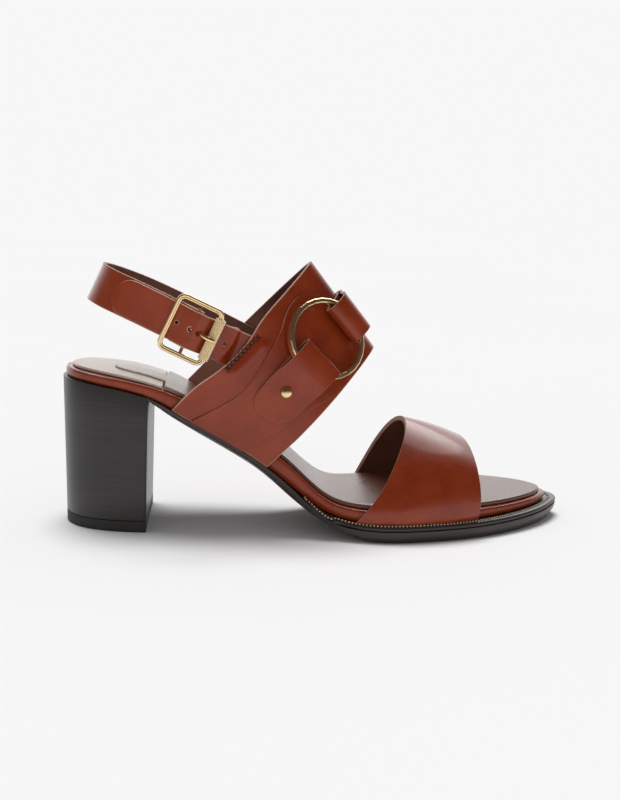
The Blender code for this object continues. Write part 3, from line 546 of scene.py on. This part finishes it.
KNURL_GOLD = plated("knurled_gold", (1.0, 0.88, 0.60), (0.94, 0.74, 0.44), 0.2, metal=0.72)
THREAD = leather("thread", (0.66, 0.53, 0.40), (0.48, 0.37, 0.27), 0.75, grain=3000.0)
DARK_THREAD = leather("dark_thread", (0.040, 0.014, 0.009), (0.022, 0.008, 0.006), 0.6,
                      grain=3000.0)


# Mesh building blocks

def add_piece(name, mesh, *looks):
    piece = bpy.data.objects.new(name, mesh)
    SANDAL.objects.link(piece)
    for look in looks:
        mesh.materials.append(look)
    return piece


def mesh_of(name, body):
    mesh = bpy.data.meshes.new(name)
    body.to_mesh(mesh)
    body.free()
    return mesh


def merged(node):
    body = bmesh.new()
    body.from_mesh(NODES[node].data)
    bmesh.ops.remove_doubles(body, verts=body.verts, dist=0.000002)
    bmesh.ops.join_triangles(body, faces=body.faces, angle_face_threshold=math.radians(38),
                             angle_shape_threshold=math.radians(180))
    return body


def regions(body, limit):
    # Groups of faces between edges sharper than the limit, the largest first
    for face in body.faces:
        face.tag = False
    found = []
    for start in body.faces:
        if start.tag:
            continue
        start.tag = True
        group, front = [], [start]
        while front:
            face = front.pop()
            group.append(face)
            for edge in face.edges:
                if edge.calc_face_angle(0.0) > limit:
                    continue
                for other in edge.link_faces:
                    if not other.tag:
                        other.tag = True
                        front.append(other)
        found.append(group)
    return sorted(found, key=lambda group: -sum(face.calc_area() for face in group))


def hold_shape(piece, rounds):
    # Moves the cage until the smooth surface passes through the cage's first corners
    target = [v.co.copy() for v in piece.data.vertices]
    for _ in range(rounds):
        smooth = piece.evaluated_get(bpy.context.evaluated_depsgraph_get()).data
        shifts = [t - smooth.vertices[i].co for i, t in enumerate(target)]
        for vertex, shift in zip(piece.data.vertices, shifts):
            vertex.co += shift
        piece.data.update()
        bpy.context.view_layer.update()


def smoothed(piece, levels, rounds):
    # The piece with its subdivision made real
    smooth = piece.modifiers.new("smooth", "SUBSURF")
    smooth.levels = levels
    smooth.render_levels = levels
    bpy.context.view_layer.update()
    hold_shape(piece, rounds)
    mesh = bpy.data.meshes.new_from_object(
        piece.evaluated_get(bpy.context.evaluated_depsgraph_get()))
    piece.modifiers.clear()
    old = piece.data
    piece.data = mesh
    bpy.data.meshes.remove(old)
    mesh.shade_smooth()
    return piece


def rounded_edges(mesh, radius, sharp, look):
    # Rounds the hard edges of a finished surface
    body = bmesh.new()
    body.from_mesh(mesh)
    hard = [e for e in body.edges if e.calc_face_angle(0.0) > math.radians(sharp)]
    bmesh.ops.bevel(body, geom=hard, offset=radius * MM, segments=2, profile=0.5,
                    affect="EDGES", clamp_overlap=True, material=look)
    body.to_mesh(mesh)
    body.free()
    mesh.shade_smooth()


def soft_copy(node, looks, radius, levels, sharp=38.0, rounds=2):
    """A rounded, smooth piece from a node, with the looks on its regions, largest first."""
    body = merged(node)
    limit = math.radians(sharp)
    for place, group in enumerate(regions(body, limit)):
        for face in group:
            face.material_index = min(place, len(looks) - 1)
    crease = body.edges.layers.float.new("crease_edge")
    for edge in body.edges:
        if edge.calc_face_angle(0.0) > limit:
            edge[crease] = 1.0
    piece = add_piece(node + "_skin", mesh_of(node + "_skin", body), *looks)
    smoothed(piece, levels, rounds)
    rounded_edges(piece.data, radius, 50.0, look=2 if len(looks) == 3 else -1)
    return piece


def finish_piece(piece, slot, *replaced):
    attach(piece, "root")
    if replaced:
        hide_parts(*replaced)
    return piece


# Trees for what repeats

def named_tree(name, inputs):
    tree = bpy.data.node_groups.new(name, "GeometryNodeTree")
    tree.interface.new_socket(name="Geometry", in_out="INPUT", socket_type="NodeSocketGeometry")
    for label, kind, value in inputs:
        socket = tree.interface.new_socket(name=label, in_out="INPUT", socket_type=kind)
        if value is not None:
            socket.default_value = value
    tree.interface.new_socket(name="Geometry", in_out="OUTPUT", socket_type="NodeSocketGeometry")
    return tree, tree.nodes.new("NodeGroupInput"), tree.nodes.new("NodeGroupOutput")


def stitch_tree():
    """Beads of thread along a line of edges, square to the line's own attribute up."""
    tree, given, out = named_tree("stitch_row", [
        ("Spacing", NUMBER, 0.002), ("Length", NUMBER, 0.0015), ("Width", NUMBER, 0.0004),
        ("Height", NUMBER, 0.0003), ("Slant", NUMBER, 0.0),
        ("Thread", "NodeSocketMaterial", None)])
    line = shader_node(tree, "GeometryNodeMeshToCurve", {"Mesh": given.outputs["Geometry"]})
    spots = shader_node(tree, "GeometryNodeResampleCurve", {
        "Curve": line.outputs["Curve"], "Length": given.outputs["Spacing"]}, mode="LENGTH")
    up = shader_node(tree, "GeometryNodeInputNamedAttribute", {"Name": "up"},
                     data_type="FLOAT_VECTOR")
    run = tree.nodes.new("GeometryNodeInputTangent")
    lie = shader_node(tree, "FunctionNodeAxesToRotation", {
        "Primary Axis": up.outputs["Attribute"], "Secondary Axis": run.outputs["Tangent"]},
        primary_axis="Z", secondary_axis="X")
    slant = shader_node(tree, "ShaderNodeCombineXYZ", {"Z": given.outputs["Slant"]})
    turn = shader_node(tree, "FunctionNodeEulerToRotation", {0: slant.outputs[0]})
    lie = shader_node(tree, "FunctionNodeRotateRotation", {
        "Rotation": lie.outputs[0], "Rotate By": turn.outputs[0]}, rotation_space="LOCAL")
    size = shader_node(tree, "ShaderNodeCombineXYZ", {
        "X": given.outputs["Length"], "Y": given.outputs["Width"],
        "Z": given.outputs["Height"]})
    bead = shader_node(tree, "GeometryNodeMeshUVSphere", {
        "Segments": 8, "Rings": 6, "Radius": 0.5})
    row = shader_node(tree, "GeometryNodeInstanceOnPoints", {
        "Points": spots.outputs["Curve"], "Instance": bead.outputs["Mesh"],
        "Rotation": lie.outputs[0], "Scale": size.outputs[0]})
    real = shader_node(tree, "GeometryNodeRealizeInstances", {"Geometry": row.outputs[0]})
    smooth = shader_node(tree, "GeometryNodeSetShadeSmooth", {0: real.outputs[0]})
    dyed = shader_node(tree, "GeometryNodeSetMaterial", {
        "Geometry": smooth.outputs[0], "Material": given.outputs["Thread"]})
    tree.links.new(dyed.outputs[0], out.inputs["Geometry"])
    return tree


def knurl_tree():
    """A tube along X with two crossing sets of ridges wound round it."""
    tree, given, out = named_tree("knurl", [
        ("Length", NUMBER, 0.02), ("Radius", NUMBER, 0.002), ("Depth", NUMBER, 0.0002),
        ("Ridges", NUMBER, 16.0), ("Twist", NUMBER, 1500.0),
        ("Metal", "NodeSocketMaterial", None)])

    def sums(operation, a, b=0.0, c=0.0):
        return shader_node(tree, "ShaderNodeMath", {0: a, 1: b, 2: c},
                           operation=operation).outputs[0]

    sheet = shader_node(tree, "GeometryNodeMeshGrid", {
        "Size X": given.outputs["Length"], "Size Y": 1.0, "Vertices X": 220,
        "Vertices Y": 145})
    spot = shader_node(tree, "ShaderNodeSeparateXYZ",
                       {0: tree.nodes.new("GeometryNodeInputPosition").outputs[0]})
    angle = sums("MULTIPLY", spot.outputs[1], 2 * math.pi)
    wound = sums("MULTIPLY", angle, given.outputs["Ridges"])
    slide = sums("MULTIPLY", spot.outputs[0], given.outputs["Twist"])
    one = sums("SINE", sums("ADD", wound, slide))
    two = sums("SINE", sums("SUBTRACT", wound, slide))
    cross = sums("MULTIPLY_ADD", sums("ABSOLUTE", two), 0.6, 0.4)
    ridge = sums("MULTIPLY", sums("ABSOLUTE", one), cross)
    reach = sums("MULTIPLY_ADD", ridge, given.outputs["Depth"], given.outputs["Radius"])
    round_y = sums("MULTIPLY", reach, sums("COSINE", angle))
    round_z = sums("MULTIPLY", reach, sums("SINE", angle))
    wrapped = shader_node(tree, "ShaderNodeCombineXYZ", {
        "X": spot.outputs[0], "Y": round_y, "Z": round_z})
    tube = shader_node(tree, "GeometryNodeSetPosition", {
        "Geometry": sheet.outputs["Mesh"], "Position": wrapped.outputs[0]})
    closed = shader_node(tree, "GeometryNodeMergeByDistance", {
        "Geometry": tube.outputs[0], "Distance": 0.000005})
    plated_tube = shader_node(tree, "GeometryNodeSetMaterial", {
        "Geometry": closed.outputs[0], "Material": given.outputs["Metal"]})
    tree.links.new(plated_tube.outputs[0], out.inputs["Geometry"])
    return tree


def grown(name, start, tree, values):
    # Runs a tree on a starting mesh and keeps the result as a plain mesh
    piece = bpy.data.objects.new(name, start)
    SANDAL.objects.link(piece)
    grow = piece.modifiers.new("grow", "NODES")
    grow.node_group = tree
    for item in tree.interface.items_tree:
        if item.in_out == "INPUT" and item.name in values:
            grow[item.identifier] = values[item.name]
    bpy.context.view_layer.update()
    mesh = bpy.data.meshes.new_from_object(
        piece.evaluated_get(bpy.context.evaluated_depsgraph_get()))
    piece.modifiers.clear()
    piece.data = mesh
    body = bmesh.new()
    body.from_mesh(mesh)
    bmesh.ops.recalc_face_normals(body, faces=body.faces)
    body.to_mesh(mesh)
    body.free()
    return piece


def row_line(name, spots):
    # A line of edges through (place, normal) pairs, for the stitch tree
    mesh = bpy.data.meshes.new(name)
    mesh.from_pydata([spot for spot, _ in spots], [(k, k + 1) for k in range(len(spots) - 1)], [])
    up = mesh.attributes.new("up", "FLOAT_VECTOR", "POINT")
    for k, (_, normal) in enumerate(spots):
        up.data[k].vector = normal
    return mesh


def surface_of(piece):
    return BVHTree.FromObject(piece, bpy.context.evaluated_depsgraph_get())


def seen_line(surface, pixels, count, lift=0.0):
    # Points on a surface behind a line drawn on the photograph, with their normals
    points = [Vector((x, y, 0.0)) for x, y in pixels]
    at = places(points)
    spots = []
    for k in range(count):
        pixel = along(points, at, at[-1] * k / (count - 1))
        hit, normal, _, _ = surface.ray_cast(EYE, sight(pixel.x, pixel.y))
        if hit:
            spots.append((hit + normal * lift * MM, normal))
    return spots


STITCHES = stitch_tree()


# Slingback surface

def along(points, at, x):
    # Smooth curve through points, whose places along it are the numbers in at
    x = min(max(x, at[0]), at[-1])
    i = max(k for k in range(len(at) - 1) if at[k] <= x)
    last = len(points) - 1
    h = at[i + 1] - at[i]
    t = (x - at[i]) / h

    def tangent(k):
        lo, hi = max(k - 1, 0), min(k + 1, last)
        return (points[hi] - points[lo]) / (at[hi] - at[lo]) * h

    return ((2 * t ** 3 - 3 * t ** 2 + 1) * points[i] + (t ** 3 - 2 * t ** 2 + t) * tangent(i)
            + (3 * t ** 2 - 2 * t ** 3) * points[i + 1] + (t ** 3 - t ** 2) * tangent(i + 1))


def places(points):
    at = [0.0]
    for a, b in zip(points, points[1:]):
        at.append(at[-1] + (b - a).length)
    return at


SLING_POINTS = [Vector(row) for row in SLING]
SLING_AT = places(SLING_POINTS)
BUCKLE_PLACE = SLING_AT[BUCKLE_ROW]


def sling(l, s, h):
    # l along the slingback, s across it, h outward from its middle surface
    base = along(SLING_POINTS, SLING_AT, l)
    run = along(SLING_POINTS, SLING_AT, min(l + 0.3, SLING_AT[-1]))
    run = run - along(SLING_POINTS, SLING_AT, max(l - 0.3, 0.0))
    out = Vector((run.y, -run.x, 0.0)).normalized()
    point = base + out * h + Vector((0.0, 0.0, s))
    c, t = math.cos(SLING_TILT), math.sin(SLING_TILT)
    return shoe(point.x * c + point.z * t, point.y, -point.x * t + point.z * c)


def refined(rows, step):
    # More rows on a smooth curve through the given ones
    points = [Vector((row[0], row[1], row[2])) for row in rows]
    at = places(points)
    count = max(int(at[-1] / step), 2)
    return [along(points, at, at[-1] * k / count) for k in range(count + 1)]


def rounded_section(half, thick, radius, across):
    # Points across and outward, round a flat section with round edges, from its top edge
    half_thick = thick / 2
    corner = [(half - radius, half_thick - radius, 0), (radius - half, half_thick - radius, 90),
              (radius - half, radius - half_thick, 180), (half - radius, radius - half_thick, 270)]
    section = []
    for number, (s, h, start) in enumerate(corner):
        for k in range(4):
            angle = math.radians(start + 30 * k)
            section.append((s + radius * math.cos(angle), h + radius * math.sin(angle)))
        if number in (0, 2):
            turn = 1.0 if number == 0 else -1.0
            for k in range(1, across):
                section.append((turn * (half - radius) * (1 - 2 * k / across), turn * half_thick))
    return section


def make_back_strap():
    rows = [(BUCKLE_PLACE * k / 44, 0.0, STRAP_HALF) for k in range(44)]
    rows += [(BUCKLE_PLACE + x, h, STRAP_HALF) for x, h in TURNED_END]
    rows = refined(rows, 0.9)
    strap = folded_strap("back_strap_skin", rows, STRAP_THICK)
    return finish_piece(strap, "upper_leather", "back_strap")


def folded_strap(name, rows, thick):
    # A strap whose section turns with its path, so that it can fold back on itself
    body = bmesh.new()
    rings = []
    for i, row in enumerate(rows):
        before, after = rows[max(i - 1, 0)], rows[min(i + 1, len(rows) - 1)]
        dl, dh = after[0] - before[0], after[1] - before[1]
        size = math.hypot(dl, dh)
        nl, nh = -dh / size, dl / size
        section = rounded_section(row[2], thick, STRAP_ROUND, ACROSS)
        rings.append([body.verts.new(sling(row[0] + nl * h, s, row[1] + nh * h))
                      for s, h in section])
    count = len(rings[0])
    for a, b in zip(rings, rings[1:]):
        for k in range(count):
            face = body.faces.new((a[k], a[(k + 1) % count], b[(k + 1) % count], b[k]))
            if k in OUTER_FACES:
                face.material_index = 0
            elif k in INNER_FACES:
                face.material_index = 1
            else:
                face.material_index = 2
    for ring in (rings[0], rings[-1]):
        body.faces.new(ring).material_index = 2
    bmesh.ops.recalc_face_normals(body, faces=body.faces)
    strap = add_piece(name, mesh_of(name, body), COGNAC, LINING, RAW_EDGE)
    strap.data.shade_smooth()
    return strap


def tail_height(x):
    # Height of the buckled end's middle over the slingback, x forward of the centre bar
    rows = list(reversed(TAIL))
    for a, b in zip(rows, rows[1:]):
        if a[0] <= x <= b[0]:
            return a[1] + (b[1] - a[1]) * (x - a[0]) / (b[0] - a[0])
    return rows[-1][1]


def strap_pin(name, x, radii):
    # A pin square to the buckled end, for cutting its holes
    body = bmesh.new()
    bmesh.ops.create_cone(body, cap_ends=True, segments=PIN_SIDES, radius1=1.0, radius2=1.0,
                          depth=1.0)
    lift = tail_height(x)
    for v in body.verts:
        v.co = sling(BUCKLE_PLACE + x + v.co.x * radii[0], v.co.y * radii[1],
                     lift + v.co.z * PIN_DEPTH)
    bmesh.ops.recalc_face_normals(body, faces=body.faces)
    pin = bpy.data.objects.new(name, mesh_of(name, body))
    bpy.context.scene.collection.objects.link(pin)
    return pin


def cut_holes(piece, pins):
    for pin in pins:
        cut = piece.modifiers.new("hole", "BOOLEAN")
        cut.operation = "DIFFERENCE"
        cut.solver = "EXACT"
        cut.object = pin
    bpy.context.view_layer.update()
    mesh = bpy.data.meshes.new_from_object(
        piece.evaluated_get(bpy.context.evaluated_depsgraph_get()))
    piece.modifiers.clear()
    piece.data = mesh
    for pin in pins:
        bpy.data.objects.remove(pin)


def stamped_ring(name, x, radius, wire, look):
    # The rolled rim pressed round a hole of the buckled end
    body = bmesh.new()
    rings = []
    for k in range(32):
        turn = 2 * math.pi * k / 32
        ring = []
        for n in range(10):
            roll = 2 * math.pi * n / 10
            reach = radius + wire * math.cos(roll)
            lift = tail_height(x + reach * math.cos(turn)) + TAIL_THICK / 2
            ring.append(body.verts.new(sling(
                BUCKLE_PLACE + x + reach * math.cos(turn), reach * math.sin(turn),
                lift + wire * 0.8 * math.sin(roll))))
        rings.append(ring)
    for k, ring in enumerate(rings):
        ahead = rings[(k + 1) % 32]
        for n in range(10):
            body.faces.new((ring[n], ring[(n + 1) % 10], ahead[(n + 1) % 10], ahead[n]))
    bmesh.ops.recalc_face_normals(body, faces=body.faces)
    piece = add_piece(name, mesh_of(name, body), look)
    piece.data.shade_smooth()
    return piece


def make_tail_strap():
    rows = [(BUCKLE_PLACE + x, h, w) for x, h, w in reversed(TAIL)]
    strap = folded_strap("tail_strap_skin", refined(rows, 0.5), TAIL_THICK)
    pins = [strap_pin("hole_pin_%d" % k, row[0], (TAIL_HOLE_RADIUS, TAIL_HOLE_RADIUS))
            for k, row in enumerate(HOLE_RIMS)]
    pins.append(strap_pin("prong_pin", PRONG_HOLE, PRONG_HOLE_RADII))
    surface = surface_of(strap)
    for pixels, width, depth in TAIL_CREASES:
        pressed(strap, seen_line(surface, pixels, 16), width, depth)
    cut_holes(strap, pins)
    finish_piece(strap, "upper_leather", "tail_strap")
    for number, (x, radius, wire) in enumerate(HOLE_RIMS):
        rim = stamped_ring("hole_rim_%d" % number, x, radius, wire, RAW_EDGE)
        finish_piece(rim, "upper_leather")


# Buckle, in a frame at its centre bar: x forward along the strap, y across it, z outward
def buckle_frame():
    origin = sling(BUCKLE_PLACE, 0.0, 0.0)
    z = (sling(BUCKLE_PLACE, 0.0, 1.0) - origin).normalized()
    x = sling(BUCKLE_PLACE + 1.0, 0.0, 0.0) - origin
    x = (x - z * x.dot(z)).normalized()
    place = Matrix((x, z.cross(x), z)).transposed().to_4x4()
    place.translation = origin
    return place


BUCKLE_FRAME = buckle_frame()


def rod(name, points, radius, closed=False, rounds=4):
    # A round bar through points of the buckle's frame, with round ends
    curve = bpy.data.curves.new(name, "CURVE")
    curve.dimensions = "3D"
    curve.bevel_depth = radius * MM
    curve.bevel_resolution = rounds
    curve.use_fill_caps = True
    line = curve.splines.new("POLY")
    line.points.add(len(points) - 1)
    for p, target in zip(points, line.points):
        spot = BUCKLE_FRAME @ (Vector(p) * MM)
        target.co = (*spot, 1.0)
    line.use_cyclic_u = closed
    shaped = bpy.data.objects.new(name, curve)
    bpy.context.scene.collection.objects.link(shaped)
    bpy.context.view_layer.update()
    mesh = bpy.data.meshes.new_from_object(shaped)
    bpy.data.objects.remove(shaped)
    body = bmesh.new()
    body.from_mesh(mesh)
    bmesh.ops.remove_doubles(body, verts=body.verts, dist=0.000001)
    bmesh.ops.recalc_face_normals(body, faces=body.faces)
    made = add_piece(name, mesh_of(name, body), GOLD)
    made.data.set_sharp_from_angle(angle=math.radians(40))
    return made


def rounded_rectangle(half_x, half_y, corner, lift):
    points = []
    steps = 8
    for sx, sy, start in ((1, 1, 0), (-1, 1, 90), (-1, -1, 180), (1, -1, 270)):
        for k in range(steps + 1):
            angle = math.radians(start + 90.0 * k / steps)
            points.append((sx * (half_x - corner) + corner * math.cos(angle),
                           sy * (half_y - corner) + corner * math.sin(angle), lift))
    return points


def make_buckle():
    bar_x = BUCKLE_LENGTH / 2 - BUCKLE_WIRE
    bar_y = BUCKLE_WIDTH / 2 - BUCKLE_WIRE
    for name, (radius, offset) in LOOP_BARS.items():
        corner = BUCKLE_CORNER - BUCKLE_WIRE + offset
        loop = rod("buckle_loop_" + name,
                   rounded_rectangle(bar_x + offset, bar_y + offset, corner, BUCKLE_LIFT),
                   radius, closed=True)
        finish_piece(loop, "brass", "buckle_frame")
    ends = [(-bar_y + 0.2, BUCKLE_LIFT - 0.5), (-bar_y + 1.6, CENTRE_BAR_LIFT + 0.6),
            (-bar_y + 2.5, CENTRE_BAR_LIFT), (bar_y - 2.5, CENTRE_BAR_LIFT),
            (bar_y - 1.6, CENTRE_BAR_LIFT + 0.6), (bar_y - 0.2, BUCKLE_LIFT - 0.5)]
    bar = rod("buckle_centre_bar", [(0.0, y, z) for y, z in ends], CENTRE_BAR_RADIUS)
    finish_piece(bar, "brass", "buckle_frame")
    points = [Vector((x, 0.0, z)) for x, z in PRONG]
    at = places(points)
    fine = [along(points, at, at[-1] * k / 40) for k in range(41)]
    prong = rod("buckle_prong_rod", fine, PRONG_RADIUS)
    finish_piece(prong, "brass", "buckle_prong")
    half = SLEEVE_LENGTH / 2
    core = rod("buckle_sleeve_core", [(bar_x, -half, BUCKLE_LIFT), (bar_x, half, BUCKLE_LIFT)],
               SLEEVE_CORE, rounds=8)
    finish_piece(core, "brass", "buckle_sleeve")
    turned = Matrix.Translation(Vector((bar_x, 0.0, BUCKLE_LIFT)) * MM)
    turned = BUCKLE_FRAME @ turned @ Matrix.Rotation(math.radians(90), 4, "Z")
    skin = grown("buckle_sleeve_knurl", bpy.data.meshes.new("knurl_start"), knurl_tree(), {
        "Length": (SLEEVE_LENGTH - 0.3) * MM, "Radius": KNURL_RADIUS * MM,
        "Depth": KNURL_DEPTH * MM, "Ridges": KNURL_RIDGES, "Twist": KNURL_TWIST,
        "Metal": KNURL_GOLD})
    skin.data.transform(turned)
    finish_piece(skin, "brass", "buckle_sleeve")


# Pieces taken from the nodes

def pressed(piece, spots, width, depth):
    # Pushes a soft trough, or with a negative depth a ridge, along a line of places
    line = [spot for spot, _ in spots]
    low = Vector([min(p[i] for p in line) - 3 * width * MM for i in range(3)])
    high = Vector([max(p[i] for p in line) + 3 * width * MM for i in range(3)])
    moves = []
    for vertex in piece.data.vertices:
        co = vertex.co
        if not all(low[i] <= co[i] <= high[i] for i in range(3)):
            continue
        reach = min((co - p).length_squared for p in line) / (width * MM) ** 2
        if reach < 9.0:
            moves.append((vertex, vertex.normal * (-depth * MM * math.exp(-reach))))
    for vertex, move in moves:
        vertex.co += move
    piece.data.update()


def cut_slit(piece, pixels, width, depth):
    # A narrow slot through a piece between two places seen on the photograph
    (start, up), (end, _) = seen_line(surface_of(piece), pixels, 2)
    run = end - start
    side = up.cross(run).normalized()
    body = bmesh.new()
    bmesh.ops.create_cube(body, size=1.0)
    for v in body.verts:
        v.co = ((start + end) / 2 + run * v.co.x + side * width * MM * v.co.y
                + up * depth * MM * v.co.z)
    bmesh.ops.recalc_face_normals(body, faces=body.faces)
    pin = bpy.data.objects.new("slit_pin", mesh_of("slit_pin", body))
    bpy.context.scene.collection.objects.link(pin)
    cut_holes(piece, [pin])


def make_upper():
    # Outer face, inner face and edge; the folded tabs keep their section's own roundness
    made = {}
    for node, looks, radius, sharp, rounds in (
            ("instep_band", (COGNAC, BAND_LINING, RAW_EDGE), 0.35, 38.0, 2),
            ("vamp_strap", (COGNAC, LINING, DARK_EDGE), 0.35, 38.0, 2),
            ("instep_overlay", (COGNAC, LINING, RAW_EDGE), 0.3, 38.0, 2),
            ("lower_tab", (COGNAC, LINING, RAW_EDGE), 0.3, 80.0, 0),
            ("upper_tab", (COGNAC, LINING, RAW_EDGE), 0.3, 80.0, 0)):
        made[node] = soft_copy(node, looks, radius, 3, sharp=sharp, rounds=rounds)
        finish_piece(made[node], "upper_leather", node)
    cut_slit(made["lower_tab"], SLIT_PIXELS, SLIT_WIDTH, SLIT_DEPTH)
    band = made["instep_band"]
    surface = surface_of(band)
    seam = seen_line(surface, SEAM_PIXELS, 24)
    pressed(band, seam, *SEAM_TROUGH)
    for pixels, width, depth in BAND_CREASES:
        pressed(band, seen_line(surface, pixels, 16), width, depth)
    surface = surface_of(band)
    seam = seen_line(surface, SEAM_PIXELS, 24, lift=SEAM_LIFT)
    for side, slant in (("left", SEAM_SLANT), ("right", -SEAM_SLANT)):
        row = grown("seam_stitch_" + side, row_line("seam_" + side, seam), STITCHES,
                    {**SEAM_BEAD, "Slant": slant, "Thread": DARK_THREAD})
        finish_piece(row, "upper_leather")


def make_sole():
    for node, looks, radius, levels, slot in (
            ("insole_board", (COGNAC,), 0.3, 3, "upper_leather"),
            ("sock", (SOCK_SKIN,), 0.3, 2, "sock_leather"),
            ("heel_pad", (PAD_SKIN,), 0.25, 2, "sock_leather"),
            ("outsole", (SOLE_EDGE, SOLE_UNDER), 0.3, 2, "sole_leather"),
            ("welt", (SOLE_EDGE,), 0.2, 2, "sole_leather"),
            ("heel_block", (HEEL_STACK,), 0.5, 2, "heel_stack"),
            ("heel_tip", (RUBBER,), 0.3, 2, "tip_rubber")):
        piece = soft_copy(node, looks, radius, levels)
        if node == "outsole":
            for face in piece.data.polygons:
                face.material_index = 1 if face.normal.z < -0.8 else 0
        finish_piece(piece, slot, node)
        if node == "welt":
            make_welt_stitches(piece)


def welt_line(surface):
    # Line round the front of the welt's upper face, a little inside its rim
    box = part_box("welt")
    middle = Vector(((box[0].x + box[1].x) / 2, (box[0].y + box[1].y) / 2, 0.0))
    spots = []
    for k in range(WELT_SPOTS):
        turn = math.radians(WELT_SWEEP * (k / (WELT_SPOTS - 1) - 0.5))
        out = Vector((math.cos(turn), math.sin(turn), 0.0))
        lo, hi = 0.0, 0.12
        for _ in range(18):
            reach = (lo + hi) / 2
            over = middle + out * reach + Vector((0.0, 0.0, 0.2))
            if surface.ray_cast(over, Vector((0.0, 0.0, -1.0)))[0]:
                lo = reach
            else:
                hi = reach
        inset = WELT_INSET + WELT_TOE_INSET * max(out.x, 0.0) ** 2
        over = middle + out * (lo - inset * MM) + Vector((0.0, 0.0, 0.2))
        hit, normal, _, _ = surface.ray_cast(over, Vector((0.0, 0.0, -1.0)))
        if hit and normal.z > 0.5:
            spots.append((hit + normal * WELT_LIFT * MM, normal))
    return spots


def make_welt_stitches(welt):
    line = welt_line(surface_of(welt))
    row = grown("welt_stitches", row_line("welt_row", line), STITCHES,
                {**WELT_BEAD, "Thread": THREAD})
    finish_piece(row, "sole_leather")


def make_hardware():
    for node in ("stud_lateral", "stud_medial"):
        piece = soft_copy(node, (GOLD,), 0.1, 2, sharp=60.0)
        finish_piece(piece, "brass", node)
    body = merged("ring")
    body.normal_update()
    for vertex in body.verts:
        vertex.co += vertex.normal * RING_SWELL * MM
    hard = [e for e in body.edges if e.calc_face_angle(0.0) > math.radians(30)]
    bmesh.ops.bevel(body, geom=hard, offset=RING_BEVEL * MM, segments=2, profile=0.6,
                    affect="EDGES", clamp_overlap=True)
    ring = add_piece("ring_skin", mesh_of("ring_skin", body), GOLD)
    ring.data.shade_smooth()
    ring.data.set_sharp_from_angle(angle=math.radians(8))
    finish_piece(ring, "brass", "ring")


def make_floor():
    bpy.ops.mesh.primitive_plane_add(size=6.0)
    floor = bpy.context.object
    floor.name = "floor"
    FLOOR.objects.link(floor)
    made, tree, shader, place = blank("paper_floor", specular=0.0)
    haze = shader_node(tree, "ShaderNodeTexNoise", {"Vector": place, "Scale": 2.0})
    tone = shader_node(tree, "ShaderNodeMix", {
        0: haze.outputs["Fac"], 6: (0.90, 0.90, 0.90, 1.0), 7: (0.92, 0.92, 0.92, 1.0)},
        data_type="RGBA")
    tree.links.new(tone.outputs[2], shader.inputs["Base Color"])
    shader.inputs["Roughness"].default_value = 1.0
    floor.data.materials.append(made)


place_camera()
light_studio()
make_floor()
make_sole()
make_upper()
make_back_strap()
make_tail_strap()
make_buckle()
make_hardware()
